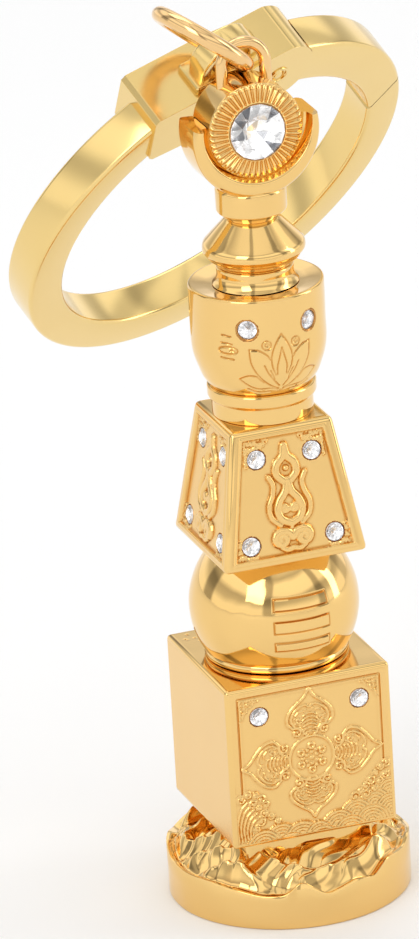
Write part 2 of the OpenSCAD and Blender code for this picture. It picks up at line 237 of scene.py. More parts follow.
class Relief:
    """Heights over a face, in its own x (across) and y (up), drawn one mark at a time."""

    def __init__(self, x, y):
        self.x, self.y = x, y
        self.h = np.zeros_like(x)

    def window(self, points, reach):
        low, high = points.min(0) - reach, points.max(0) + reach
        return (self.x > low[0]) & (self.x < high[0]) & (self.y > low[1]) & (self.y < high[1])

    def around(self, centre, radius):
        """The points near a centre, and how far each lies from it."""
        mask = self.window(np.array([centre]), radius)
        return mask, np.hypot(self.x[mask] - centre[0], self.y[mask] - centre[1])

    def lay(self, mask, distance, width, height):
        """A mark with a round section, given how far each point lies from its middle."""
        bump = height * np.sqrt(np.clip(1 - (distance / width) ** 2, 0, 1))
        pick = np.maximum if height > 0 else np.minimum
        self.h[mask] = np.where(bump != 0, pick(self.h[mask], bump), self.h[mask])

    def stroke(self, points, width, height):
        """A raised line, or a cut one where height is negative."""
        points = np.asarray(points, float)
        mask = self.window(points, width)
        x, y = self.x[mask], self.y[mask]
        best = np.full(x.shape, 1e9)
        for a, b in zip(points, points[1:]):
            d = b - a
            t = np.clip(((x - a[0]) * d[0] + (y - a[1]) * d[1]) / max(d @ d, 1e-12), 0, 1)
            best = np.minimum(best, (x - a[0] - t * d[0]) ** 2 + (y - a[1] - t * d[1]) ** 2)
        self.lay(mask, np.sqrt(best), width, height)

    def both(self, points, width, height):
        """A stroke and its mirror image."""
        self.stroke(points, width, height)
        self.stroke(mirrored(points), width, height)

    def bead(self, centre, radius, height):
        self.lay(*self.around(centre, radius), radius, height)

    def seat(self, centre, radius, depth):
        """A flat-bottomed hole for a stone."""
        mask, d = self.around(centre, radius)
        self.h[mask] = np.where(d < radius, -depth, self.h[mask])

    def fan(self, centre, radius, pitch, height):
        """A wave drawn as nested arcs, which hides what was drawn behind it."""
        mask, d = self.around(centre, radius)
        rings = height * (0.25 + 0.75 * np.abs(np.cos(math.pi * (radius - d) / pitch)))
        self.h[mask] = np.where(d < radius, rings, self.h[mask])


def crevices(heights, reach):
    """How much painted shade each point gets: how far it lies below the ground round it, as a share of
    reach, up to 1.
    """
    ground = heights
    for axis in (0, 1):
        ground = sum(np.roll(ground, shift, axis) for shift in range(-3, 4)) / 7
    return np.clip((ground - heights) / reach, 0, 1)


# -------- meshes

class Shape:
    """One mesh: its vertices, each with a value of painted shade, and its faces, each with a material."""

    def __init__(self):
        self.verts, self.faces, self.crevice, self.slots = [], [], [], []
        self.count = 0

    def add(self, verts, faces, crevice=None, slot=0):
        verts = np.asarray(verts, float).reshape(-1, 3)
        shade = np.zeros(len(verts)) if crevice is None else np.asarray(crevice).reshape(-1)
        self.verts.append(verts)
        self.crevice.append(shade)
        start = self.count
        faces = faces.tolist() if isinstance(faces, np.ndarray) else faces
        self.faces += [tuple(i + start for i in f) for f in faces]
        self.slots += slot if isinstance(slot, list) else [slot] * len(faces)
        self.count += len(verts)
        return self

    def piece(self, name, node, slot, body="pagoda", sharp=38, materials=None):
        """Makes the mesh's object, which stands for the CAD node."""
        mesh = bpy.data.meshes.new(name)
        mesh.from_pydata((np.vstack(self.verts) * MM).tolist(), [], self.faces)
        mesh.validate()
        for m in materials or LOOKS[slot]:
            mesh.materials.append(m)
        if len(mesh.polygons) == len(self.slots):
            mesh.polygons.foreach_set("material_index", self.slots)
        layer = mesh.attributes.new("crevice", "FLOAT", "POINT")
        layer.data.foreach_set("value", np.concatenate(self.crevice).astype(np.float32))
        mesh.shade_smooth()
        mesh.set_sharp_from_angle(angle=math.radians(sharp))
        mesh.update()
        stand_in(mesh, node, body)


def new_object(name, data):
    obj = bpy.data.objects.new(name, data)
    bpy.context.scene.collection.objects.link(obj)
    return obj


def stand_in(mesh, node, body):
    """The mesh as an object that rides on the body and takes the place of the CAD node."""
    obj = new_object(mesh.name, mesh)
    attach(obj, body)
    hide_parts(node)


def placed(verts, origin, across, up):
    """Points given across, up and out from a face, put where the face is."""
    verts = np.asarray(verts, float).reshape(-1, 3)
    out = np.cross(across, up)
    return np.asarray(origin) + verts[:, :1] * across + verts[:, 1:2] * up + verts[:, 2:] * out


def grid_faces(rows, cols, wrap_cols=False, wrap_rows=False):
    i = np.arange(rows if wrap_rows else rows - 1)[:, None]
    j = np.arange(cols if wrap_cols else cols - 1)[None, :]
    i2, j2 = (i + 1) % rows, (j + 1) % cols
    corners = (i * cols + j, i * cols + j2, i2 * cols + j2, i2 * cols + j)
    return np.stack(np.broadcast_arrays(*corners), -1).reshape(-1, 4)


def tube_faces(rows, cols):
    """The faces of a tube of rings, with a cap on each end."""
    first, last = list(range(cols)), list(range((rows - 1) * cols, rows * cols))
    return grid_faces(rows, cols, True).tolist() + [first[::-1], last]


def hand_polish(r, z, angles, depth):
    """The faint unevenness that casting and buffing leave on a turned wall, but not in its bore."""
    x, y = r * np.cos(angles), r * np.sin(angles)
    return depth * (noise(x * 0.42 + z * 0.3, y * 0.42 - z * 0.2, 21)
                    + 0.5 * noise(x * 0.9 - z * 0.5, y * 0.9 + z * 0.4, 22)) * smooth(1.3, 2.0, r)


def turned(outline, segments=160, uneven=0.0):
    """A body turned round Z: a ring where its outline is closed, and otherwise a capped solid."""
    angles = bearings(segments)
    r, z = outline[:, :1], outline[:, 1:]
    if uneven:
        r = r + hand_polish(r, z, angles, uneven)
    verts = cylindrical(r, angles, z)
    if np.linalg.norm(outline[0] - outline[-1]) < 1e-6:
        return verts[:-1].reshape(-1, 3), grid_faces(len(outline) - 1, segments, True, True)
    return verts.reshape(-1, 3), tube_faces(len(outline), segments)


def swept(path, sides, section):
    """A section of (side, up) points carried along a path. sides holds each point's side vector."""
    path, sides = np.asarray(path, float), np.broadcast_to(sides, np.shape(path))
    along = np.gradient(path, axis=0)
    along /= np.linalg.norm(along, axis=1)[:, None]
    ups = np.cross(along, sides)
    verts = path[:, None] + sides[:, None] * section[None, :, :1] + ups[:, None] * section[None, :, 1:]
    return verts.reshape(-1, 3), tube_faces(len(path), len(section))


def staple(half, foot, bend_at, steps):
    """A path in the xy plane: up one leg, over a half circle and down the other leg."""
    arch = polar(half, np.linspace(0, math.pi, 41)) + [0, bend_at]
    leg = [(half, y) for y in np.linspace(foot, bend_at, steps)[:-1]]
    path = np.vstack([leg, arch, mirrored(leg[::-1])])
    return np.hstack([path, np.zeros((len(path), 1))])


def round_section(radius, sides=28):
    return polar(radius, bearings(sides))


def box_section(width, height, radius, steps=5):
    """A rectangle with rounded corners, as a ring of points."""
    out = []
    for cx, cy, start in ((1, 1, 0), (-1, 1, 90), (-1, -1, 180), (1, -1, 270)):
        corner = (cx * (width / 2 - radius), cy * (height / 2 - radius))
        out += arc(corner, radius, start, start + 90, steps).tolist()
    return np.array(out)


BLOCK_FACES = ((0, 3, 2, 1), (4, 5, 6, 7), (0, 1, 5, 4), (1, 2, 6, 5), (2, 3, 7, 6), (3, 0, 4, 7))


def rounded_block(low_half, high_half, z_low, z_high, radius, steps=5):
    """A square block's rounded edges, and the corners of the flat faces that they leave open."""
    signs = ((-1, -1), (1, -1), (1, 1), (-1, 1))
    bm = bmesh.new()
    verts = [bm.verts.new((sx * h, sy * h, z)) for h, z in ((low_half, z_low), (high_half, z_high))
             for sx, sy in signs]
    for loop in BLOCK_FACES:
        bm.faces.new([verts[i] for i in loop])
    bmesh.ops.bevel(bm, geom=bm.edges[:], offset=radius, offset_type="OFFSET", segments=steps,
                    profile=0.5, affect="EDGES")
    flat = sorted(bm.faces, key=lambda f: f.calc_area())[-6:]
    corners = [[np.array(v.co) for v in f.verts] for f in flat]
    bmesh.ops.delete(bm, geom=flat, context="FACES_ONLY")
    bm.verts.index_update()
    strips = [[v.index for v in f.verts] for f in bm.faces]
    points = np.array([v.co for v in bm.verts])
    bm.free()
    return points, strips, corners


def panel(corners, out, origin_z, step, draw):
    """A face's grid with its relief. x is 0 in the middle, and y is up the face from origin_z."""
    centre = np.mean(corners, axis=0)
    flat = abs(out[2]) > 0.9
    up = np.array([0.0, 1.0, 0.0]) if flat else unit(np.array([0, 0, 1.0]) - out * out[2])
    across = np.cross(up, out)
    u = [float((c - centre) @ across) for c in corners]
    v = [float((c - centre) @ up) for c in corners]
    order = sorted(range(4), key=lambda k: v[k])
    bl, br = sorted(order[:2], key=lambda k: u[k])
    tl, tr = sorted(order[2:], key=lambda k: u[k])
    cols = max(3, int((u[br] - u[bl]) / step))
    rows = max(3, int((v[tl] - v[bl]) / step))
    s, t = np.linspace(0, 1, cols)[None, :, None], np.linspace(0, 1, rows)[:, None, None]
    points = ((corners[bl] * (1 - s) + corners[br] * s) * (1 - t)
              + (corners[tl] * (1 - s) + corners[tr] * s) * t)
    x = (points - centre) @ across
    y = (points - centre) @ up + (0 if flat else (centre[2] - origin_z) / up[2])
    relief = Relief(x, y)
    if draw:
        draw(relief)
        for edge in (np.s_[0], np.s_[-1], np.s_[:, 0], np.s_[:, -1]):
            relief.h[edge] = 0
    verts = points + relief.h[:, :, None] * out
    # The relief's hollows carry painted shade
    return verts, grid_faces(rows, cols), crevices(relief.h, 0.08)


def add_block(shape, halves, heights, radius, plan, slot=0):
    """A block with rounded edges. plan(normal) gives each flat face's step, drawing and material."""
    points, strips, faces = rounded_block(*halves, *heights, radius)
    shape.add(points, strips, slot=slot)
    for corners in faces:
        normal = unit(np.cross(corners[1] - corners[0], corners[2] - corners[1]))
        step, draw, look = plan(normal)
        verts, quads, painted_dark = panel(corners, normal, heights[0], step, draw)
        shape.add(verts, quads, painted_dark, slot=look(verts, quads) if callable(look) else look)


# -------- materials

def new_material(name):
    mat = bpy.data.materials.new(name)
    mat.use_nodes = True
    tree = mat.node_tree
    shader = tree.nodes["Principled BSDF"]
    return mat, tree, shader


def feed(tree, node, **values):
    """Sets a node's settings and inputs. An input takes a value, or the output that feeds it."""
    for key, value in values.items():
        if hasattr(node, key):
            setattr(node, key, value)
            continue
        socket = node.inputs[key.replace("_", " ")]
        if isinstance(value, bpy.types.NodeSocket):
            tree.links.new(value, socket)
        else:
            socket.default_value = value
    return node


def add_node(tree, kind, **values):
    return feed(tree, tree.nodes.new("ShaderNode" + kind), **values)


def plated(name, light, deep, rough, spread, grain, grain_scale, scratch=0.25):
    """Plated metal: colour drifts a little, and its gloss and surface vary. Shade is painted into its
    colour: it turns toward the deep colour in crevices, and on the dark facets of a stone's foil.
    """
    mat, tree, shader = new_material(name)
    place = add_node(tree, "TexCoord").outputs["Object"]

    def cloud(vector, scale, detail, **more):
        return add_node(tree, "TexNoise", Vector=vector, Scale=scale, Detail=detail,
                        **more).outputs["Fac"]

    worn = (light[0] * 0.97, light[1] * 0.95, light[2] * 0.9, 1)
    tint = add_node(tree, "Mix", data_type="RGBA", Factor=cloud(place, 160.0, 3.0),
                    A=(*light, 1), B=worn)
    # Painted shade: the colour is mixed toward deep by each vertex's shade value
    shade_amount = add_node(tree, "Attribute", attribute_name="crevice")
    shaded_tint = add_node(tree, "Mix", data_type="RGBA", Factor=shade_amount.outputs["Fac"],
                    A=tint.outputs["Result"], B=(*deep, 1))
    gloss = add_node(tree, "MapRange", To_Min=rough - spread, To_Max=rough + spread,
                     Value=cloud(place, 900.0, 5.0, Roughness=0.65))
    stretch = add_node(tree, "Mapping", Vector=place, Rotation=(0.4, 0.9, 0.3),
                       Scale=(1.0, 24.0, 24.0))
    scratches = add_node(tree, "Bump", Strength=scratch, Distance=2e-6,
                         Height=cloud(stretch.outputs["Vector"], 260.0, 3.0))
    bump = add_node(tree, "Bump", Strength=grain, Distance=8e-6,
                    Height=cloud(place, grain_scale, 4.0), Normal=scratches.outputs["Normal"])
    feed(tree, shader, Base_Color=shaded_tint.outputs["Result"], Roughness=gloss.outputs["Result"],
         Normal=bump.outputs["Normal"], Metallic=1.0)
    return mat


def paint_glow(mat, strength):
    """Painted glow: a little light of its own, in its own colour, standing in for the light that foil
    throws back over more than one bounce.
    """
    shader = mat.node_tree.nodes["Principled BSDF"]
    feed(mat.node_tree, shader, Emission_Color=shader.inputs["Base Color"].links[0].from_socket,
         Emission_Strength=strength)
    return mat


def gem_material():
    """Clear lead glass, with a faint uneven polish."""
    mat, tree, shader = new_material("crystal_glass")
    place = add_node(tree, "TexCoord").outputs["Object"]
    haze = add_node(tree, "TexNoise", Vector=place, Scale=700.0, Detail=2.0)
    polish = add_node(tree, "MapRange", To_Min=0.0, To_Max=0.03, Value=haze.outputs["Fac"])
    feed(tree, shader, Roughness=polish.outputs["Result"], Base_Color=(0.97, 0.98, 1.0, 1),
         IOR=1.56, Transmission_Weight=1.0)
    return mat


# Each metal's colour in the open and its painted shade colour in crevices, roughness and its spread,
# grain and its scale
polished = plated("polished_gold", (0.90, 0.605, 0.235), (0.62, 0.25, 0.04), 0.08, 0.03, 0.05, 2600.0)
satin = plated("satin_gold", (0.90, 0.60, 0.235), (0.68, 0.33, 0.08), 0.22, 0.04, 0.16, 6000.0)
pale = plated("pale_gold", (0.88, 0.65, 0.27), (0.62, 0.34, 0.06), 0.16, 0.03, 0.05, 2200.0)
copper = plated("copper_gold", (0.90, 0.60, 0.28), (0.55, 0.20, 0.05), 0.12, 0.04, 0.06, 2600.0)
# The stone seats' gold is dark: painted shade for the dark ring round each stone
seat_gold_painted_shade = plated("seat_gold_painted_shade", (0.55, 0.27, 0.08), (0.20, 0.08, 0.03), 0.22, 0.05, 0.10, 4000.0)
foil = plated("foil_silver_painted_glow_and_shade", (0.96, 0.96, 0.98), (0.03, 0.035, 0.06), 0.14, 0.04, 0.02, 3000.0)
steel = plated("plain_steel", (0.62, 0.62, 0.60), (0.25, 0.24, 0.22), 0.30, 0.06, 0.20, 5000.0, 0.6)
crystal = gem_material()
# Painted glow on the stones' foil, stronger on the sun stone's
paint_glow(foil, 0.13)
strong_glow_foil = paint_glow(plated("strong_glow_foil", (0.97, 0.97, 0.98), (0.03, 0.035, 0.06), 0.12, 0.04,
                             0.02, 3000.0), 0.24)
LOOKS = {"polished_gold": [polished], "satin_gold": [satin, polished], "pale_gold": [pale],
         "copper_gold": [copper], "steel": [steel], "crystal": [crystal, foil, seat_gold_painted_shade]}


# -------- crystals

# Where each ring of a stone's vertices starts, after the table's 8
STAR, TOP, LOW, DEEP, CULET = 8, 16, 32, 48, 56


def brilliant(radius, crown, pavilion):
    """A round stone with table, star, kite and girdle facets. Its girdle lies at z 0."""
    def ring(share, z, count, turn):
        return cylindrical(share * radius, (np.arange(count) + turn) * 2 * math.pi / count, z)

    verts = [ring(0.56, crown, 8, 0), ring(0.79, 0.52 * crown, 8, 0.5), ring(1, 0.04, 16, 0),
             ring(1, -0.04, 16, 0), ring(0.42, -0.62 * pavilion, 8, 0.5), [(0, 0, -pavilion)]]
    crown_faces, back_faces = [list(range(8))], []
    for k in range(8):
        n, b = (k + 1) % 8, (k - 1) % 8
        even, odd, after = 2 * k, 2 * k + 1, (2 * k + 2) % 16
        crown_faces += [[k, STAR + k, n], [k, STAR + b, TOP + even, STAR + k],
                        [STAR + k, TOP + even, TOP + odd], [STAR + k, TOP + odd, TOP + after]]
        back_faces += [[DEEP + k, LOW + odd, LOW + even], [DEEP + k, LOW + after, LOW + odd],
                       [DEEP + b, DEEP + k, LOW + even], [CULET, DEEP + k, DEEP + b]]
    for k in range(16):
        n = (k + 1) % 16
        crown_faces.append([LOW + k, LOW + n, TOP + n, TOP + k])
    return np.vstack(verts), crown_faces, back_faces


# Painted shade on each facet of a stone's foiled back, taken in turn: the dark reflections of a cut
# stone, painted into the foil's colour
PAINTED_FACET_SHADES = (0.0, 0.8, 0.0, 0.0, 0.0, 0.15, 0.0, 0.0, 0.9, 0.0, 0.0, 0.1, 0.0, 0.0, 0.65, 0.0, 0.0)


def add_stone(shape, radius, crown, pavilion, sink, face, turn, shade):
    """A stone's glass crown and its foiled back, whose facets are loose so that each keeps its own
    painted shade.
    """
    verts, crown_faces, back_faces = brilliant(radius, crown, pavilion)
    c, s = math.cos(turn), math.sin(turn)
    verts = placed(verts @ np.array([[c, s, 0], [-s, c, 0], [0, 0, 1]]) - [0, 0, sink], *face)
    shape.add(verts[:DEEP], crown_faces)
    for k, facet in enumerate(back_faces):
        painted_dark = PAINTED_FACET_SHADES[k % len(PAINTED_FACET_SHADES)] * shade
        shape.add(verts[facet], [list(range(len(facet)))], [painted_dark] * len(facet), slot=1)


def set_stone(shape, crown, sink, face, turn, seat):
    """A small stone on a face, given as (origin, across, up), with a lipped seat this wide round it."""
    add_stone(shape, STONE_R, crown, STONE_DEPTH, sink, face, turn, 0.3)
    lip = STONE_R + seat
    wall = rounded([(STONE_R + 0.01, -sink - 0.30, 0), (STONE_R + 0.03, -0.02, 0.04),
                    (lip - 0.05, 0.03, 0.05), (lip + 0.03, -0.10, 0)], 4)[::-1]
    ring_verts, ring_faces = turned(np.vstack([wall, [[lip, -sink - 0.35]], wall[:1]]), 48)
    shape.add(placed(ring_verts, *face), ring_faces, slot=2)


X, Y, Z = np.eye(3)


def turn_z(v, angle):
    c, s = math.cos(angle), math.sin(angle)
    return np.array([c * v[0] - s * v[1], s * v[0] + c * v[1], v[2]])


# -------- wave base

BAND_STEP = 2.2                # from one band on a fold's flank to the next
FOLD_STEP = 2.3                # from one fold to the next
# The carving's own axes are turned from the cube's by this angle
CARVE_C, CARVE_S = math.cos(math.radians(18.8)), math.sin(math.radians(18.8))
# The rim's peaks and dips: bearing in degrees, rise in mm
RIM_POINTS = ((0, 1.0), (15, 0.45), (31, 0.35), (50, 0.4), (65, 0.0), (76, -0.35), (87, -0.3),
              (95, 0.95), (107, -0.5), (123, 0.3), (133, -0.1), (142, 0.95), (160, 0.7), (170, 1.1))
PEDESTAL_HALF = 5.5            # half the width of the plinth under the cube
RIM_Z = 3.15                   # the rim, before it rises and dips
BASE_SEGMENTS, BASE_RINGS = 540, 92
WALL_PULL = 0.0022             # how far the wall's unevenness draws it in, as a share of its radius


def fold_profile(t):
    """One fold per unit of t: a long outer flank, a crest, a short fall behind it."""
    t = t - np.floor(t)
    return np.where(t < 0.66, (t / 0.66) ** 1.2, smooth(1.0, 0.66, t))


def rim_rise(bearing):
    """How far the rim stands over RIM_Z: uneven peaks, the same on the front and back halves."""
    degrees = np.degrees(bearing) % 180
    at, rise = zip(*RIM_POINTS)
    near = [np.interp(degrees + step, at, rise, period=180) for step in (-2.5, -1, 0, 1, 2.5)]
    return sum(near) / len(near)


def wave_height(x, y):
    """The carved sea on the base: folds that climb to the plinth, with leaning S-shaped bands."""
    inward = BASE_R - np.hypot(x, y)
    u, v = CARVE_C * x - CARVE_S * y, CARVE_S * x + CARVE_C * y
    bend = 0.25 * np.sin(1.1 * u + 1.0) + 0.45 * noise(u * 0.3, v * 0.3, 5)
    reach = np.sqrt(v * v + 0.5) + 0.6 * np.sqrt((u - 1) ** 2 + 1) + bend
    fold = fold_profile(0.38 - reach / FOLD_STEP)
    lean = u - 0.9 * v + 0.3 * np.sin(2.0 * v + 0.5 * u) + 0.4 * noise(u * 0.3, v * 0.3, 3)
    bands = np.tanh(2.2 * np.sin(2 * math.pi * lean / BAND_STEP))
    rim = rim_rise(np.arctan2(v, u)) * smooth(3.0, 0.0, inward)
    groove = 0.32 * np.exp(-((inward - 0.75) / 0.3) ** 2)
    lip = 0.12 * smooth(0.6, 0.2, inward)
    beside = np.maximum(np.abs(x), np.abs(y)) - PEDESTAL_HALF
    hill = 2.0 * smooth(4.4, -0.2, beside)
    carving = hill + 0.68 * fold - 0.25 + 0.13 * bands * (0.4 + 0.6 * fold)
    height = RIM_Z + rim + lip - groove + smooth(0.1, 1.7, inward) * carving
    return np.minimum(height, cube_low[2] - 0.15)


def make_base():
    angles = bearings(BASE_SEGMENTS)
    hole, inner = screw_high[0] + 0.1, 4.6
    under = rounded([(hole, 1.2, 0), (hole, 0, 0.15), (BASE_R, 0, 0.22), (BASE_R, RIM_Z - 1.6, 0)])
    under = np.vstack([under, [[BASE_R, z] for z in np.linspace(RIM_Z - 1.5, RIM_Z - 0.9, 3)]])
    rows = [cylindrical(r, angles, z) for r, z in under]
    for r in [BASE_R, BASE_R - 0.03, *np.linspace(BASE_R - 0.09, inner, BASE_RINGS)]:
        x, y = polar(r, angles).T
        rows.append(cylindrical(r, angles, wave_height(x, y) - (0.05 if r == BASE_R else 0)))
    rows.append(rows[0] + [0, 0, 1.0])
    verts = np.array(rows)
    wall = verts[4: len(under)]
    dents = 1 + noise(wall[:, :, 0] * 0.5, wall[:, :, 1] * 0.5, 9)
    wall[:, :, :2] *= 1 - WALL_PULL * dents[:, :, None]
    top = verts[:, :, 2]
    # Painted shade in the carving's hollows, by how far each point lies below the ground round it
    ground = sum(np.roll(np.roll(top, a, 0), b, 1) for a in (-4, 0, 4) for b in (-5, 0, 5)) / 9
    painted_dark = np.clip((ground - top) / 0.7, 0, 1)
    painted_dark[: len(under) + 2] = 0
    painted_dark[-1] = 0
    shape = Shape()
    shape.add(verts, grid_faces(len(rows), len(angles), True, True), painted_dark)
    add_block(shape, (PEDESTAL_HALF, PEDESTAL_HALF), (RIM_Z, base_high[2]), 0.3,
              lambda normal: (0.6, None, 0))
    shape.piece("wave_base_carved", "wave_base", "polished_gold")


# -------- cube

FRAME_X, FRAME_TOP = 6.15, 13.05   # half the engraved frame's width, and its top
MEDAL_Y = 6.87                 # the medallion's centre
STONE_X, STONE_Y = 4.34, 11.25
# Grid steps of the carved faces, the worn top and the plain faces
CUBE_STEP, PYRAMID_STEP, WORN_STEP, PLAIN_STEP = 0.062, 0.068, 0.08, 0.3
WORN = 0.9                     # what the polish has left of each raised mark's height


def petal_marks():
    """One pointed petal, with its tip up, as (points, half width, height) about the medallion."""
    outer = curve([(1.5, 2.75), (1.98, 3.3), (1.8, 4.1), (1.15, 4.8), (0.45, 5.35), (0.02, 6.05)])
    inner = curve([(1.35, 2.9), (1.62, 3.4), (1.45, 4.0), (0.95, 4.5), (0.4, 4.68), (0.0, 4.45)])
    marks = [(outer, 0.13, 0.13), (inner, 0.10, 0.11),
             (spiral((1.22, 2.35), 0.42, 75, 1.25), 0.105, 0.14),
             (curve([(0.3, 2.0), (0.55, 2.2), (0.72, 2.55), (1.05, 2.8), (1.5, 2.75)]), 0.10, 0.12),
             (spiral((0.95, 3.42), 0.3, 200, 1.0), 0.09, 0.10),
             (curve([(1.25, 3.85), (0.95, 4.12), (0.6, 4.15)]), 0.09, 0.10)]
    marks += [(curve([(0.0, p + 0.05), (0.3, p), (0.56, p - 0.16)]), 0.085, 0.11)
              for p in (2.3, 2.62, 2.94, 3.26, 3.58, 3.9)]
    beads = [(1.3, 3.15), (1.32, 3.62), (0.9, 2.98), (0.3, 4.3)]
    return marks, beads


def draw_petals(relief):
    marks, beads = petal_marks()
    for quarter in range(4):
        c, s = math.cos(quarter * math.pi / 2), math.sin(quarter * math.pi / 2)
        turn = np.array([[c, s], [-s, c]])
        short = 0.86 if quarter == 2 else 1.0
        for points, width, height in marks:
            for side in (1, -1):
                relief.stroke(points * [side, short] @ turn + [0, MEDAL_Y], width, height)
        for bead in beads:
            for side in (1, -1):
                relief.bead(np.array(bead) * [side, short] @ turn + [0, MEDAL_Y], 0.11, 0.10)


def draw_medallion(relief):
    relief.stroke(arc((0, MEDAL_Y), 1.92, 0, 360, 72), 0.13, 0.13)
    for k in range(6):
        a = math.radians(90 + 60 * k)
        loop = (1.05 * math.cos(a), MEDAL_Y + 1.05 * math.sin(a))
        relief.stroke(arc(loop, 0.24, 0, 360, 24), 0.11, 0.14)
        relief.bead((0.5 * math.cos(a), MEDAL_Y + 0.5 * math.sin(a)), 0.17, 0.13)
        relief.bead((0.78 * math.cos(a + 0.52), MEDAL_Y + 0.78 * math.sin(a + 0.52)), 0.17, 0.13)
    relief.bead((0, MEDAL_Y), 0.2, 0.14)


def draw_corner(relief, corner, sx, sy, size):
    """A corner filled with small stepped and curled lines, inside a scalloped edge."""
    at = lambda points: np.array(points, float) * [sx * size, sy * size] + corner
    relief.stroke(at([(0, -1.0), (0.14, -0.92), (0.16, -0.7), (0.36, -0.62), (0.4, -0.4),
                      (0.62, -0.36), (0.7, -0.16), (0.92, -0.14), (1.0, 0)]), 0.07, 0.09)
    for x, y, r in ((0.14, -0.14, 0.12), (0.14, -0.44, 0.1), (0.46, -0.14, 0.1), (0.32, -0.3, 0.09),
                    (0.1, -0.7, 0.07), (0.72, -0.07, 0.06)):
        relief.stroke(arc(at([(x, y)])[0], r * size, 0, 300, 12), 0.055, 0.09)


def draw_foam(relief, centres, radius, start, turns):
    """Curls of foam, each over a smooth lump that hides what lies behind it."""
    for k, centre in enumerate(centres):
        size = radius * (1 - 0.14 * (k % 3))
        relief.fan(centre, size * 1.2, 0.6, 0.06)
        relief.stroke(spiral(centre, size, start + 35 * k, turns), 0.095, 0.16)
        relief.bead(centre, 0.12, 0.15)


def draw_waves(relief):
    """Nested wave arcs along the bottom edge, with curling foam rising at both ends."""
    back_row = [(6.5, 2.6, 1.5), (5.2, 1.75, 1.5), (3.6, 1.1, 1.5), (-3.0, 0.1, 1.6),
                (2.0, 0.35, 1.6), (-1.2, -0.2, 1.75), (0.3, 0.0, 1.3)]
    front_row = [(6.6, 1.0, 1.6), (4.9, 0.2, 1.65), (3.0, -0.35, 1.6), (-4.5, -0.3, 1.7),
                 (-2.2, -0.85, 1.6), (0.6, -0.85, 1.7)]
    for x, y, radius in back_row:
        relief.fan((x, y), radius, 0.27, 0.13)
    for k in range(6):
        offset = 0.27 * k
        claw = curve([(-6.62 + offset, 0.6), (-6.7 + offset, 2.0 - 0.15 * k),
                      (-6.35 + offset, 3.3 - 0.28 * k), (-5.75 + offset, 4.0 - 0.36 * k)])
        relief.stroke(claw, 0.10, 0.13)
    draw_foam(relief, [(-6.3, 4.35), (-5.7, 4.62), (-5.05, 4.5), (-4.55, 4.05), (-4.2, 3.5),
                       (-4.75, 3.35), (-5.25, 3.8)], 0.38, 40, -1.2)
    draw_foam(relief, [(-4.35, 2.75), (-3.75, 2.4), (-3.2, 1.95), (-4.6, 2.1), (-5.1, 1.5)],
              0.34, 120, 1.1)
    draw_foam(relief, [(6.4, 5.2), (5.85, 4.95), (5.35, 4.5), (4.95, 3.95), (4.5, 3.5), (4.0, 3.1),
                       (3.5, 2.75)], 0.38, 150, 1.2)
    draw_foam(relief, [(6.2, 4.2), (5.7, 3.7), (5.2, 3.1), (4.5, 2.75)], 0.34, 30, -1.1)
    for x, y, radius in front_row:
        relief.fan((x, y), radius, 0.27, 0.13)


def draw_cube_face(relief):
    groove = [(-FRAME_X, 4.4), (-FRAME_X, FRAME_TOP), (FRAME_X, FRAME_TOP), (FRAME_X, 5.2)]
    relief.stroke(np.array(groove), 0.09, -0.09)
    relief.stroke(np.array(groove) * [0.975, 1] - [0, 0.17], 0.07, 0.05)
    draw_petals(relief)
    draw_medallion(relief)
    for side in (-1, 1):
        draw_corner(relief, np.array([side * (FRAME_X - 0.15), FRAME_TOP - 0.15]), -side, 1, 1.75)
        relief.seat((side * STONE_X, STONE_Y), STONE_R + 0.06, 0.5)
    draw_waves(relief)
    relief.h = np.where(relief.h > 0, WORN * relief.h, relief.h)


def draw_soft_cast(relief):
    relief.h += 0.012 * noise(relief.x * 0.35, relief.y * 0.35, 5)


def draw_worn_top(relief):
    draw_soft_cast(relief)
    for k in range(14):
        x = -6.1 + 0.62 * k * (0.5 + 0.4 * math.sin(2.3 * k))
        relief.bead((x, 5.2 + 0.9 * math.sin(1.7 * k)), 0.10 + 0.04 * math.sin(3.1 * k), -0.05)


def cube_face(normal):
    """A cube face's grid step, drawing and material: carved front and back, and a worn top."""
    if abs(normal[1]) > 0.9:
        return CUBE_STEP, draw_cube_face, 0
    return (WORN_STEP, draw_worn_top, 1) if normal[2] > 0.9 else (PLAIN_STEP, draw_soft_cast, 0)


def make_cube():
    shape = Shape()
    add_block(shape, (CUBE_HALF, CUBE_HALF), (cube_low[2], cube_high[2]), 0.36, cube_face, slot=1)
    shape.piece("earth_cube_carved", "earth_cube", "satin_gold")


def make_cube_stones():
    shape = Shape()
    for turn in (0, math.pi):
        for side in (-1, 1):
            origin = turn_z(np.array([side * STONE_X, -CUBE_HALF, cube_low[2] + STONE_Y]), turn)
            set_stone(shape, 0.20, 0.02, (origin, turn_z(X, turn), Z), side * 0.2, 0.09)
    shape.piece("cube_crystal_set", "cube_crystals", "crystal", sharp=3)


# -------- ball and its collar

def make_collar():
    low, high, r = collar_low[2], collar_high[2], collar_high[0]
    outline = rounded([(SCREW_BORE, low, 0), (r - 0.35, low, 0.1), (r - 0.05, low + 0.1, 0.2),
                       (r, low + 0.35, 0.25), (r - 0.12, high - 0.02, 0.3), (r - 0.7, high, 0.2),
                       (SCREW_BORE, high, 0), (SCREW_BORE, low, 0)], 8)
    Shape().add(*turned(outline, 240, 0.02)).piece("ball_collar_ring", "ball_collar",
                                                   "polished_gold")


BAR_HALF = 2.46
# Each bar's middle and half its height
BARS = ((27.1, 0.5), (25.2, 0.5), (23.45, 0.42))


def draw_bars(relief):
    """Three plain outlined bars, one above the other."""
    for z, half in BARS:
        edge = [(-BAR_HALF, z - half), (BAR_HALF, z - half), (BAR_HALF, z + half),
                (-BAR_HALF, z + half), (-BAR_HALF, z - half)]
        inside = ((np.abs(relief.x) < BAR_HALF) & (np.abs(relief.y - z) < half))
        relief.h = np.where(inside, 0.07, relief.h)
        relief.stroke(np.array(edge), 0.085, -0.06)


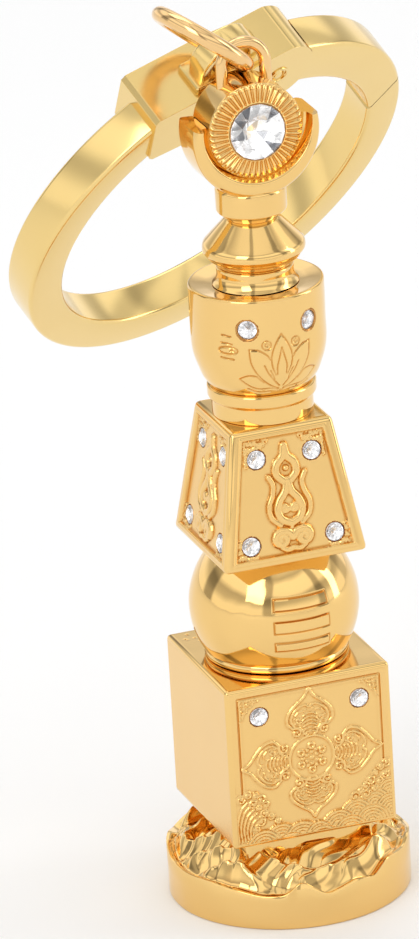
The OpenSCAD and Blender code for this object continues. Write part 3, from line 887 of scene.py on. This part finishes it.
def relief_lathe(outline, radius, segments, draws):
    """A turned solid whose wall carries relief. draws holds (direction, function) pairs."""
    angles = bearings(segments)
    along = np.gradient(outline, axis=0)
    along /= np.linalg.norm(along, axis=1)[:, None]
    r, z = outline[:, :1], outline[:, 1:]
    height = np.zeros((len(outline), segments))
    for direction, draw in draws:
        off = (angles - direction + math.pi) % (2 * math.pi) - math.pi
        relief = Relief(*np.meshgrid(off * radius, outline[:, 1]))
        draw(relief)
        height += relief.h
    # Painted shade in the relief's cut lines and hollows
    painted_dark = crevices(height, 0.05)
    height += hand_polish(r, z, angles, 0.02)
    verts = cylindrical(r + height * along[:, 1:], angles, z - height * along[:, :1])
    return verts, tube_faces(len(outline), segments), painted_dark


def make_ball():
    low = math.asin((ball_low[2] - BALL_CENTRE_Z) / BALL_R)
    high = math.asin((ball_high[2] - BALL_CENTRE_Z) / BALL_R)
    wall = polar(BALL_R, np.linspace(low, high, 124)) + [0, BALL_CENTRE_Z]
    draws = [(FRONT, draw_bars), (-FRONT, draw_bars)]
    Shape().add(*relief_lathe(wall, BALL_R, 600, draws)).piece(
        "water_ball_polished", "water_ball", "polished_gold", sharp=55)


# -------- pyramid

PANEL_DEPTH, BORDER = 0.3, 0.8  # how deep the panel is sunk, and how wide its border is
# The stones' places on a face: across from its middle, and up it from its foot
FACE_STONES = ((2.38, 8.95), (3.6, 1.95))


def panel_half(y):
    """Half the sunk panel's width at height y up the face."""
    t = (y - BORDER) / (PYRAMID_H - 2 * BORDER)
    return (PYRAMID_HALF - 1.35 * BORDER) * (1 - t) + (PYRAMID_TOP_HALF - 1.05 * BORDER) * t


def panel_inset(across, y):
    """How far inside the sunk panel a point lies, or how far outside it where negative."""
    return np.minimum(panel_half(y) - across, np.minimum(y, PYRAMID_H - y + 0.15) - BORDER)


def draw_flame(relief):
    """A plain flame over a cloud scroll, the same left and right."""
    body, fine = 0.37, 0.26
    relief.both(spiral((0.95, 2.15), 0.62, 100, -1.35, 0.3), body, 0.30)
    relief.both(curve([(0.85, 2.75), (0.4, 2.65), (0.0, 2.2)]), body, 0.30)
    relief.both(curve([(0.0, 1.3), (0.55, 1.2), (1.0, 1.45)]), fine, 0.22)
    relief.both(curve([(0.0, 3.35), (0.75, 3.75), (1.05, 4.5), (0.8, 5.3), (0.3, 5.95),
                       (0.0, 6.9)]), body, 0.30)
    relief.both(curve([(0.95, 3.3), (1.6, 3.95), (1.75, 4.9), (1.35, 5.9), (1.25, 6.7),
                       (1.55, 7.35)]), fine, 0.26)
    relief.both(curve([(0.35, 6.9), (0.85, 7.5), (0.75, 8.3), (0.2, 8.9), (0.0, 9.75)]), body, 0.28)
    relief.both(spiral((0.42, 4.65), 0.3, 200, 1.0, 0.3), fine, 0.20)
    relief.bead((0, 7.9), 0.27, 0.26)
    relief.bead((0, 3.0), 0.2, 0.22)


def draw_grains(relief, corner, sx, sy, size):
    """A corner triangle filled with small uneven grains, inside a scalloped edge."""
    rows = 7
    pitch = size / rows
    for i in range(rows):
        for j in range(rows - i):
            shift = 0.25 * pitch * math.sin(5.3 * i + 3.1 * j)
            spot = corner + np.array([sx * ((i + 0.4) * pitch + shift), sy * ((j + 0.4) * pitch - shift)])
            relief.bead(spot, pitch * (0.62 + 0.12 * math.cos(4.1 * i - 2.3 * j)), 0.13)
        edge = corner + np.array([sx * (i + 0.5) * pitch, sy * (rows - i - 0.1) * pitch])
        relief.stroke(arc(edge, pitch * 0.6, 0, 360, 12), 0.08, 0.11)


def draw_pyramid_face(relief):
    inset = panel_inset(np.abs(relief.x), relief.y)
    floor = smooth(-0.02, 0.14, inset)
    draw_flame(relief)
    for side in (-1, 1):
        for sy, corner_y, size in ((1, PYRAMID_H - BORDER + 0.1, 2.1), (-1, BORDER + 0.05, 1.9)):
            corner_x = side * (panel_half(corner_y) - 0.05)
            draw_grains(relief, np.array([corner_x, corner_y]), -side, -sy, size)
    relief.h = relief.h * floor - PANEL_DEPTH * floor + 0.05 * np.exp(-((inset + 0.12) / 0.1) ** 2)
    for side in (-1, 1):
        for gx, gy in FACE_STONES:
            relief.seat((side * gx, gy), STONE_R + 0.06, PANEL_DEPTH + 0.5)


def on_border(verts, faces):
    """1 for each of a face's quads that lies on its polished border, and 0 inside the panel."""
    points = verts.reshape(-1, 3)[faces].mean(1)
    near, out = np.sort(np.abs(points[:, :2]), axis=1).T
    rise = (points[:, 2] - pyramid_low[2]) / PYRAMID_H
    edge = PYRAMID_HALF * (1 - rise) + PYRAMID_TOP_HALF * rise
    return ((panel_inset(near, rise * PYRAMID_H) < 0) & (out > edge - 1)).astype(int).tolist()


def pyramid_face(normal):
    """A pyramid face's grid step, drawing and material: level top and foot, and carved sides."""
    level = abs(normal[2]) > 0.9
    if level:
        return PLAIN_STEP, draw_soft_cast, 1
    return PYRAMID_STEP, draw_pyramid_face, on_border


def make_pyramid():
    shape = Shape()
    add_block(shape, (PYRAMID_HALF, PYRAMID_TOP_HALF), (pyramid_low[2], pyramid_high[2]), 0.42,
              pyramid_face, slot=1)
    shape.piece("fire_pyramid_carved", "fire_pyramid", "satin_gold")


def make_pyramid_stones():
    shape = Shape()
    up = unit([0, PYRAMID_HALF - PYRAMID_TOP_HALF, PYRAMID_H])
    for turn in (0, math.pi / 2, math.pi, 3 * math.pi / 2):
        for side in (-1, 1):
            for gx, gy in FACE_STONES:
                at = np.array([side * gx, -PYRAMID_HALF, pyramid_low[2]]) + up * gy
                at -= np.cross(X, up) * PANEL_DEPTH
                set_stone(shape, 0.20, 0.0, [turn_z(v, turn) for v in (at, X, up)],
                          0.3 * gx * side, 0.09)
    shape.piece("pyramid_crystal_set", "pyramid_crystals", "crystal", sharp=3)


# -------- bowl, collars and double cone

LOTUS_Z = 44.9                 # the lotus's foot
BOWL_STONE_ANGLE = math.radians(28.8)
BOWL_STONE_Z = 50.4


def draw_lotus(relief):
    """A lotus cut in fine line, in millimetres round the bowl and up from its foot."""
    for points in ([(0.0, 5.0), (0.45, 4.3), (0.85, 3.3), (0.85, 2.3), (0.55, 1.45)],
                   [(0.0, 3.85), (0.2, 3.1), (0.42, 2.2), (0.4, 1.5)],
                   [(2.7, 3.85), (2.55, 2.5), (1.85, 1.2), (0.95, 0.4), (0.3, 0.1)],
                   [(2.7, 3.85), (1.9, 3.75), (1.25, 3.3), (1.0, 2.9)],
                   [(1.5, 2.4), (1.15, 1.6), (0.55, 0.75), (0.2, 0.35)],
                   [(1.0, 1.9), (0.75, 1.35), (0.65, 1.0)],
                   [(3.75, 1.15), (3.0, 1.45), (2.3, 1.4), (1.85, 1.0), (1.6, 0.8)],
                   [(3.75, 1.15), (2.9, 0.45), (2.0, 0.15), (0.9, 0.15), (0.3, 0.0)],
                   [(3.1, 0.2), (2.2, -0.15), (1.1, -0.15)]):
        relief.both(curve(points) + [0, LOTUS_Z], 0.085, -0.075)
    for side in (-1, 1):
        curl = (side * 1.25, LOTUS_Z + 4.15)
        relief.stroke(arc(curl, 0.38, 60, 400, 20), 0.075, -0.07)
        relief.stroke(spiral(curl, 0.22, 0, 1.0), 0.07, -0.07)
        relief.seat((side * BOWL_R * BOWL_STONE_ANGLE, BOWL_STONE_Z), STONE_R + 0.16, 0.62)


def draw_dashes(relief):
    """Three short cut dashes, one above the other."""
    for z, half in ((49.9, 0.42), (49.25, 0.5), (47.95, 0.6)):
        relief.stroke(np.array([(-half, z), (half, z - 0.1)]), 0.085, -0.08)
    oval = arc((0, 0), 1, 0, 360, 28) * [0.85, 0.3] + [0.1, 48.6]
    relief.stroke(oval, 0.10, -0.09)
    relief.stroke(np.array([(0.35, 48.6), (0.7, 48.55)]), 0.14, -0.1)


def make_bowl():
    low, high, bore = bowl_low[2], bowl_high[2], 1.25
    dish = high - 0.25
    outline = rounded([(bore, low, 0), (4.2, low, 0.1), (4.75, low + 0.75, 0.5),
                       (BOWL_R - 0.02, low + 2.9, 2.2), (BOWL_R, high - 0.6, 0.0),
                       (BOWL_R, high, 0.55), (neck_high[0] + 0.26, dish, 0.4), (bore, dish, 0)], 9)
    outline[:, 1] = np.minimum(outline[:, 1], high)
    left = FRONT - math.radians(48)
    draws = [(FRONT, draw_lotus), (-FRONT, draw_lotus), (left, draw_dashes),
             (left + math.pi, draw_dashes)]
    Shape().add(*relief_lathe(resampled(outline, 0.075), BOWL_R, 560, draws)).piece(
        "wind_bowl_engraved", "wind_bowl", "polished_gold", sharp=50)


def make_bowl_stones():
    shape = Shape()
    for half_turn in (0, math.pi):
        for side in (-1, 1):
            turn = half_turn + side * BOWL_STONE_ANGLE
            origin = turn_z(np.array([0, -BOWL_R + 0.05, BOWL_STONE_Z]), turn)
            set_stone(shape, 0.18, 0.16, (origin, turn_z(X, turn), Z), side * 0.4, 0.2)
    shape.piece("bowl_crystal_set", "bowl_crystals", "crystal", sharp=3)


def make_turned(name, node, bore, low, high, outer):
    """A turned ring of the stack, from its bore and its outer outline from foot to top."""
    outline = rounded([(bore, low, 0), *outer, (bore, high, 0), (bore, low, 0)])
    ring = turned(resampled(outline, 0.25), segments=220, uneven=0.022)
    Shape().add(*ring).piece(name, node, "polished_gold")


def make_small_turnings():
    z0, z1, r = flange_low[2], flange_high[2], flange_high[0]
    make_turned("bowl_collar_steps", "bowl_collar", SCREW_BORE, z0, z1,
                [(r - 0.3, z0, 0.1), (r - 0.3, z1 - 1.25, 0.12), (r, z1 - 1.0, 0.12),
                 (r, z1 - 0.1, 0.3), (r - 0.35, z1, 0.1)])
    z0, z1, r = neck_low[2], neck_high[2], neck_high[0]
    make_turned("neck_ring_polished", "neck_ring", SPIGOT_BORE, z0, z1,
                [(r, z0, 0.05), (r - 0.27, z0 + 0.35, 0.35), (r - 0.42, z0 + 0.8, 0.3),
                 (r - 0.4, z1, 0.15)])
    z0, z1, r = cone_low[2], cone_high[2], cone_high[0]
    make_turned("double_cone_polished", "double_cone", SPIGOT_BORE, z0, z1,
                [(3.05, z0, 0.12), (3.3, z0 + 0.35, 0.2), (r - 0.4, z0 + 0.72, 0.3),
                 (r - 0.3, z0 + 0.95, 0.06), (r - 0.22, z0 + 1.0, 0.05), (r, z0 + 1.3, 0.25),
                 (r - 0.04, z0 + 1.85, 0.5), (2.3, z1 - 0.15, 0.3), (2.12, z1, 0.05)])


# -------- moon, sun and eyelet

# The crescent lies between its outer circle and a hollow that is centred higher
MOON_R, MOON_Z = moon_high[0], SUN_Z - 0.3
HOLLOW_R, HOLLOW_Z = 4.45, SUN_Z + 0.6
STEM_R = 2.88


def make_moon():
    """The crescent, from its inner edge behind the sun, out over a chamfered lip, on its stem."""
    tip = math.asin((moon_high[2] - HOLLOW_Z) / HOLLOW_R)
    swing = np.linspace(math.pi - tip, 2 * math.pi + tip, 141)
    front, back = moon_low[1], 1.75
    section = rounded([(-0.6, front + 1.25, 0), (0.0, front + 1.0, 0.1), (0.20, front + 0.08, 0.06),
                       (0.34, front, 0.08), (0.78, front + 0.12, 0.3), (1.0, front + 0.6, 0.4),
                       (1.0, back - 0.45, 0.5), (0.6, back, 0.2), (-0.6, back - 0.05, 0)], 7)
    ray = polar(1, swing)
    gap = HOLLOW_Z - MOON_Z
    reach = -gap * ray[:, 1] + np.sqrt(MOON_R ** 2 - gap ** 2 * ray[:, 0] ** 2)
    radius = HOLLOW_R + (reach - HOLLOW_R)[:, None] * section[None, :, 0]
    verts = np.stack([radius * ray[:, :1], np.broadcast_to(section[:, 1], radius.shape),
                      HOLLOW_Z + radius * ray[:, 1:]], -1)
    shape = Shape().add(verts, [f[::-1] for f in tube_faces(len(swing), len(section))])
    foot, top, spigot = cone_high[2], SUN_Z - 5.15, 1.2
    stem = rounded([(spigot, bowl_high[2] - 2, 0), (spigot, foot, 0), (2.15, foot, 0.05),
                    (STEM_R, foot + 0.65, 0.15), (STEM_R, top - 0.15, 0.25),
                    (STEM_R - 0.9, top + 0.45, 0)])
    shape.add(*turned(stem, uneven=0.02))
    shape.piece("moon_holder_polished", "moon_holder", "polished_gold")


RIBS, RIB_IN, RIB_DEPTH = 46, 2.45, 0.17


def make_sun():
    """The disc: a stone setting inside a ring of cut wedge-shaped ribs, on both faces."""
    angles = bearings(RIBS * 12)
    front = rounded([(SUN_STONE_R, SUN_FRONT - 1.3, 0), (SUN_STONE_R + 0.02, SUN_FRONT - 0.1, 0.05),
                     (SUN_STONE_R + 0.07, SUN_FRONT, 0.06), (RIB_IN - 0.02, SUN_FRONT, 0.05),
                     (RIB_IN + 0.05, SUN_FRONT - 0.03, 0.05), (SUN_R - 0.3, SUN_FRONT - 0.10, 0.2),
                     (SUN_R, SUN_FRONT - 0.35, 0.2), (SUN_R, 0, 0)], 5)
    back = rounded([(SUN_R, 0, 0), (SUN_R, SUN_BACK + 0.4, 0.1), (SUN_R - 0.25, SUN_BACK + 0.14, 0.1),
                    (RIB_IN, SUN_BACK + 0.07, 0.05), (RIB_IN - 0.06, SUN_BACK, 0.05),
                    (1.5, SUN_BACK, 0.2), (1.2, SUN_BACK + 0.35, 0.2), (0.25, SUN_BACK + 0.4, 0)], 5)
    wall = resampled(np.vstack([front, back[1:]]), 0.08)[::-1]
    r, z = wall[:, :1], wall[:, 1:]
    groove = 0.5 + 0.5 * np.cos(RIBS * angles)
    on_front = smooth(RIB_IN, RIB_IN + 0.16, r)
    near_face = np.maximum(smooth(SUN_FRONT - 0.42, SUN_FRONT - 0.16, z),
                           smooth(SUN_BACK + 0.45, SUN_BACK + 0.2, z))
    depth = RIB_DEPTH * groove * on_front * near_face
    verts = cylindrical(r - 0.35 * depth, angles, z - np.where(z > 0, 1.0, -1.0) * depth)
    # Painted shade in the grooves between the ribs
    painted_dark = np.clip(depth / RIB_DEPTH, 0, 1) * 0.5
    shape = Shape().add(placed(verts, (0, 0, SUN_Z), X, Z), tube_faces(len(wall), len(angles)), painted_dark)
    shape.piece("sun_disc_ribbed", "sun_disc", "polished_gold")


def make_sun_stone():
    shape = Shape()
    face = (0, -SUN_FRONT, SUN_Z), X, Z
    add_stone(shape, SUN_STONE_R - 0.03, 0.62, 1.15, 0, face, 0.2, 0.9)
    lip = np.array([(SUN_STONE_R - 0.02, -0.3), (SUN_STONE_R + 0.05, -0.3),
                    (SUN_STONE_R + 0.05, 0.02), (SUN_STONE_R - 0.02, 0.05)])
    ring_verts, ring_faces = turned(np.vstack([lip, lip[:1]]), 96)
    shape.add(placed(ring_verts, *face), ring_faces, slot=2)
    shape.piece("sun_crystal_brilliant", "sun_crystal", "crystal", sharp=3,
                materials=[crystal, strong_glow_foil, seat_gold_painted_shade])


def make_sun_eyelet():
    """A wire arch on the sun's rim, with a small weld round each foot."""
    bend = eyelet_high[0] - WIRE_R
    wire = staple(bend, eyelet_low[2], eyelet_high[2] - WIRE_R - bend, 7)
    shape = Shape().add(*swept(placed(wire, (0, 0, 0), X, Z), Y, round_section(WIRE_R)))
    weld, weld_faces = turned(rounded([(0.4, 0, 0), (WIRE_R + 0.26, 0, 0.05),
                                       (WIRE_R + 0.08, 0.22, 0.1), (WIRE_R - 0.05, 0.5, 0)]), 40)
    drop = math.sqrt(SUN_R ** 2 - bend ** 2) - 0.16
    for side in (-1, 1):
        tilt = side * math.asin(bend / SUN_R) * 0.8
        across = np.array([-math.cos(tilt), 0, math.sin(tilt)])
        shape.add(placed(weld, (side * bend, 0, SUN_Z + drop), across, Y), weld_faces)
    shape.piece("sun_eyelet_wire", "sun_eyelet", "copper_gold")


# -------- jump ring and key ring

def make_jump_ring():
    """A round wire ring, closed with a fine butt joint."""
    across = unit(np.cross(link_axis, Z))
    up = np.cross(link_axis, across)
    gap, joint_at = 0.006, math.radians(205)
    a = np.linspace(joint_at + gap, joint_at + 2 * math.pi - gap, 181)
    path = placed(cylindrical(LINK_R, a, 0), link_centre, across, up)
    side = unit(np.cross(across, up))
    Shape().add(*swept(path, side, round_section(LINK_WIRE_R, 40))).piece(
        "jump_ring_wire", "jump_ring", "copper_gold", "jump_ring")


def on_ring(verts):
    return placed(verts, ring_centre, ring_x, ring_y)


def cut_angle(radius, from_pin):
    """Where a circle round the hinge pin crosses the ring at this radius, on the gate's side."""
    pin = np.hypot(*PIN_AT)
    cosine = (radius ** 2 + pin ** 2 - from_pin ** 2) / (2 * radius * pin)
    return pin_angle - np.arccos(np.clip(cosine, -1, 1))


ARM_START = math.radians(107)
GATE_REACH, GATE_GAP = 17.15, 0.1   # from the hinge pin to the gate's tip, and on to the arm
HEEL_R = 3.38                  # from the hinge pin to the near end of the gate's bar


def curved_bar(start, end, rows, inner=None):
    """A bar along the ring. start and end give its end angles by radius, inner its inner edge."""
    width = RING_OUT_R - RING_IN_R
    section = box_section(width, RING_T, 0.34, 6)
    share, z = section[:, 0] / width + 0.5, section[:, 1]
    t = np.linspace(0, 1, rows)[:, None]
    radius = RING_IN_R + width * share + 0 * t
    angle = start(radius) * (1 - t) + end(radius) * t
    if inner is not None:
        for _ in range(2):
            radius = inner(angle) + (RING_OUT_R - inner(angle)) * share
            angle = start(radius) * (1 - t) + end(radius) * t
    faces = [f[::-1] for f in tube_faces(rows, len(section))]
    return Shape().add(on_ring(cylindrical(radius, angle, z)), faces)


def make_arm():
    curved_bar(lambda r: ARM_START + 0 * r,
               lambda r: 2 * math.pi + cut_angle(r, GATE_REACH + GATE_GAP),
               260).piece("ring_arm_bar", "ring_arm", "pale_gold", "key_ring")


def make_gate():
    """The gate's bar, thicker towards its heel, and the tongue that the rivet goes through."""
    cut_at, cut_r = np.array([0.15, -1.4]), 15.1

    def inner(angle):
        toward = polar(1, angle) @ cut_at
        return toward + np.sqrt(cut_r ** 2 - cut_at @ cut_at + toward ** 2)

    shape = curved_bar(lambda r: cut_angle(r, GATE_REACH), lambda r: cut_angle(r, HEEL_R), 90, inner)
    tongue = np.vstack([arc(PIN_AT, 1.7, 90, 270, 16), [[9.4, 12.3], [8.8, 15.4]]])
    points = [(x, y, z) for z in (-0.95, 0.25) for x, y in tongue]
    shape.add(on_ring(points), tube_faces(2, len(tongue)))
    shape.piece("gate_bar", "gate", "pale_gold", "gate")


HOOK_IN, HOOK_WALL, HOOK_T, HOOK_BEND_Y = 1.8, 0.9, 2.0, 19.5
BLOCK_TOP = 18.1
PAD_H, PAD_W, PAD_T = 0.7, 6.8, 2.8


def make_block_eyelet():
    """The flat strap loop on its pad, on top of the clasp block. The pad's two ends are chamfered."""
    strap = staple(HOOK_IN + HOOK_WALL / 2, BLOCK_TOP + PAD_H - 0.3, HOOK_BEND_Y, 6)
    verts, faces = swept(strap, Z, box_section(HOOK_T, HOOK_WALL, 0.22, 5))
    shape = Shape().add(on_ring(verts), faces)
    half, middle = PAD_W / 2, BLOCK_TOP + PAD_H / 2 - 0.02
    path = np.array([[x, middle, 0] for x in (-half, 0.12 - half, half - 0.12, half)])
    pad, pad_faces = swept(path, Z, box_section(PAD_T, PAD_H + 0.04, 0.14, 5))
    pad = pad.reshape(4, -1, 3)
    for end in (0, 3):
        pad[end] = path[end] + (pad[end] - path[end]) * [1, 0.72, 0.93]
    shape.add(on_ring(pad), pad_faces)
    shape.piece("block_eyelet_strap", "block_eyelet", "pale_gold", "key_ring")


def flat_normals(mesh, angle):
    """Lets the large flat faces keep their own normals, so that only the rounded edges bend them."""
    normals = [np.array(p.normal) for p in mesh.polygons]
    areas = [p.area for p in mesh.polygons]
    around = {}
    for p in mesh.polygons:
        for v in p.vertices:
            around.setdefault(v, []).append(p.index)
    limit = math.cos(math.radians(angle))
    corners = []
    for p in mesh.polygons:
        for v in p.vertices:
            near = [k for k in around[v] if normals[k] @ normals[p.index] > limit]
            corners.append(tuple(unit(sum(normals[k] * areas[k] for k in near))))
    mesh.normals_split_custom_set(corners)


def soften(node, name, slot, width):
    """Puts a copy of a CAD node with its edges rounded over in its place."""
    source = frame["nodes"][node]
    mesh = source.data.copy()
    mesh.name = name
    bm = bmesh.new()
    bm.from_mesh(mesh)
    bmesh.ops.remove_doubles(bm, verts=bm.verts[:], dist=2e-6)
    bmesh.ops.dissolve_limit(bm, angle_limit=math.radians(1.0), verts=bm.verts[:], edges=bm.edges[:])
    sharp = [e for e in bm.edges if len(e.link_faces) == 2 and e.calc_face_angle(0) > 0.6]
    bmesh.ops.bevel(bm, geom=sharp, offset=width * MM, offset_type="OFFSET", segments=4,
                    profile=0.5, affect="EDGES", clamp_overlap=True)
    bm.to_mesh(mesh)
    bm.free()
    mesh.materials.clear()
    mesh.materials.append(LOOKS[slot][0])
    mesh.shade_smooth()
    mesh.set_sharp_from_angle(angle=math.radians(40))
    flat_normals(mesh, 40)
    stand_in(mesh, node, source["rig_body"])


RIVET_FRONT, RIVET_BACK = 1.725, -2.875


def make_rivet():
    """The gate's hinge rivet: a peened rim round a dished, domed middle, on each side."""
    head = [(0.02, 0.08, 0), (0.35, 0.07, 0.15), (0.52, -0.12, 0.1), (0.66, -0.12, 0.05),
            (0.74, 0.15, 0.12), (0.93, 0.14, 0.12), (0.95, -0.05, 0)]
    outline = rounded([(r, RIVET_BACK - h, c) for r, h, c in head]
                      + [(0.55, RIVET_BACK + 0.1, 0), (0.55, RIVET_FRONT - 0.1, 0)]
                      + [(r, RIVET_FRONT + h, c) for r, h, c in head[::-1]], 4)
    verts, faces = turned(outline, 64)
    Shape().add(on_ring(verts + [*PIN_AT, 0]), faces).piece("gate_rivet", "gate_pin", "pale_gold",
                                                            "key_ring")


def make_screw():
    """The tie screw, with a cross recess in its flush head."""
    head_r, shaft_r, top, face_r, face_z = screw_high[0], 1.25, screw_high[2], 0.9, 0.02
    verts, faces = turned(rounded([(face_r, face_z, 0), (head_r, 0, 0.12), (head_r, 1.2, 0.1),
                                   (shaft_r, 1.2, 0), (shaft_r, top - 0.4, 0), (0.8, top, 0)]), 72)
    shape = Shape().add(verts, faces[:-2] + faces[-1:])
    wide, deep, arm = 0.22, 0.8, 0.85
    cross = [(wide, arm), (-wide, arm), (-wide, wide), (-arm, wide), (-arm, -wide), (-wide, -wide),
             (-wide, -arm), (wide, -arm), (wide, -wide), (arm, -wide), (arm, wide), (wide, wide)]
    bm = bmesh.new()
    edge = [bm.verts.new(p) for p in cylindrical(face_r, bearings(72), face_z)]
    rim = [bm.verts.new((x, y, face_z)) for x, y in cross]
    floor = [bm.verts.new((x * 0.6, y * 0.6, deep)) for x, y in cross]
    loops = [bm.edges.new((ring[k - 1], ring[k])) for ring in (edge, rim) for k in range(len(ring))]
    bmesh.ops.triangle_fill(bm, edges=loops, use_beauty=True)
    for k in range(len(cross)):
        bm.faces.new((rim[k - 1], rim[k], floor[k], floor[k - 1]))
    bm.faces.new(floor)
    bmesh.ops.recalc_face_normals(bm, faces=bm.faces[:])
    bm.verts.index_update()
    shape.add([v.co for v in bm.verts], [[v.index for v in f.verts] for f in bm.faces])
    bm.free()
    shape.piece("tie_screw_cross", "tie_screw", "steel")


def make_spring():
    """The gate's closing spring: two turns of fine wire round the rivet."""
    wire, coil, first, pitch = 0.15, 0.95, 0.45, 0.261
    a = np.linspace(0, 4 * math.pi, 90)
    path = cylindrical(coil, a, first + pitch * a / (2 * math.pi)) + [*PIN_AT, 0]
    verts, faces = swept(path, cylindrical(1, a, 0), round_section(wire, 14))
    Shape().add(on_ring(verts), faces).piece("gate_spring_coil", "gate_spring", "steel", "key_ring")


for make in (make_base, make_cube, make_cube_stones, make_collar, make_ball, make_pyramid,
             make_pyramid_stones, make_bowl, make_bowl_stones, make_small_turnings, make_moon,
             make_sun, make_sun_stone, make_sun_eyelet, make_jump_ring, make_arm, make_gate,
             make_block_eyelet):
    make()
soften("clasp_block", "clasp_block_soft", "pale_gold", 0.25)
for make in (make_rivet, make_screw, make_spring):
    make()


# -------- floor, light and camera

def make_floor():
    mesh = bpy.data.meshes.new("floor")
    half = 1.5
    mesh.from_pydata([(-half, -half, 0), (half, -half, 0), (half, half, 0), (-half, half, 0)], [],
                     [(0, 1, 2, 3)])
    mat, tree, shader = new_material("floor_pale")
    feed(tree, shader, Base_Color=(0.93, 0.93, 0.93, 1), Roughness=0.9, Specular_IOR_Level=0.1)
    mesh.materials.append(mat)
    new_object("floor", mesh)


LIGHT_AIM = Vector((0, 0, 0.035))


def make_light(name, place, size, power):
    """A soft rectangular lamp that looks at the middle of the charm."""
    light = bpy.data.lights.new(name, "AREA")
    light.shape = "RECTANGLE"
    light.size, light.size_y = size
    light.energy = power
    obj = new_object(name, light)
    obj.location = place
    obj.rotation_euler = (LIGHT_AIM - Vector(place)).to_track_quat("-Z", "Y").to_euler()


# The light tent's brightness by height over the horizon, with two dimmer bands
TENT_BANDS = ((0.12, 1.0), (0.24, 0.60), (0.34, 0.50), (0.44, 1.05), (0.66, 1.1), (0.76, 0.55),
              (0.86, 0.90), (1.0, 1.0))
TENT_STRENGTH = 1.14
# The gaps between its panels, as (bearing and half width in degrees, brightness)
TENT_GAPS = ((-118, 6, 0.50), (-38, 5, 0.45), (20, 6, 0.60), (88, 6, 0.50), (146, 8, 0.40))


def add_ramp(tree, fac, first, stops):
    """A colour ramp, from its first colour through the (position, grey) stops."""
    ramp = add_node(tree, "ValToRGB", Fac=fac)
    elements = ramp.color_ramp.elements
    elements.remove(elements[1])
    elements[0].color = (*first, 1)
    for position, grey in stops:
        elements.new(position).color = (grey, grey, grey, 1)
    return ramp.outputs["Color"]


def make_world():
    """A light tent: bands of brightness by height, darkened at the gaps between its panels."""
    world = bpy.data.worlds.new("studio")
    bpy.context.scene.world = world
    world.use_nodes = True
    tree = world.node_tree
    coords = add_node(tree, "TexCoord")
    split = add_node(tree, "SeparateXYZ", Vector=coords.outputs["Generated"])
    bands = add_ramp(tree, split.outputs["Z"], (1.0, 0.99, 0.97), TENT_BANDS)
    bearing = add_node(tree, "Math", operation="ARCTAN2")
    tree.links.new(split.outputs["Y"], bearing.inputs[0])
    tree.links.new(split.outputs["X"], bearing.inputs[1])
    share = add_node(tree, "MapRange", From_Min=-math.pi, From_Max=math.pi,
                     Value=bearing.outputs["Value"])
    stops = [((degrees + offset + 180) / 360, value) for degrees, half, grey in TENT_GAPS
             for offset, value in ((-half - 4, 1.0), (-half, grey), (half, grey), (half + 4, 1.0))]
    gaps = add_ramp(tree, share.outputs["Result"], (1, 1, 1), stops)
    both = add_node(tree, "Mix", data_type="RGBA", blend_type="MULTIPLY", Factor=1.0, A=bands, B=gaps)
    feed(tree, tree.nodes["Background"], Color=both.outputs["Result"], Strength=TENT_STRENGTH)


CAMERA_AZIMUTH = math.radians(-18.765)
CAMERA_ELEVATION = math.radians(21.144)
CAMERA_ROLL = math.radians(3.442)
CAMERA_DISTANCE = 807.6
CAMERA_LENS = 376.3
AIM_RIGHT, AIM_UP = -6.655, 33.84   # the camera's offset from the charm's foot, in its own axes


def make_camera():
    a, e, roll = CAMERA_AZIMUTH, CAMERA_ELEVATION, CAMERA_ROLL
    back = np.array([math.sin(a) * math.cos(e), -math.cos(a) * math.cos(e), math.sin(e)])
    level = np.array([math.cos(a), math.sin(a), 0])
    upright = np.cross(back, level)
    right = level * math.cos(roll) - upright * math.sin(roll)
    up = upright * math.cos(roll) + level * math.sin(roll)
    place = (right * AIM_RIGHT + up * AIM_UP + back * CAMERA_DISTANCE) * MM
    data = bpy.data.cameras.new("camera")
    data.lens = CAMERA_LENS
    data.sensor_width = 36
    data.clip_start = 0.01
    obj = new_object("camera", data)
    turn = Matrix((right, up, back)).transposed().to_4x4()
    obj.matrix_world = Matrix.Translation(Vector(place)) @ turn
    bpy.context.scene.camera = obj


make_floor()
make_world()
make_camera()
make_light("key_left", (-0.38, -0.34, 0.34), (0.26, 0.36), 0.60)
make_light("rim_right", (0.46, -0.12, 0.20), (0.10, 0.42), 0.30)
make_light("top_back", (0.02, 0.22, 0.50), (0.36, 0.22), 0.32)
bpy.context.scene.view_settings.view_transform = "Standard"
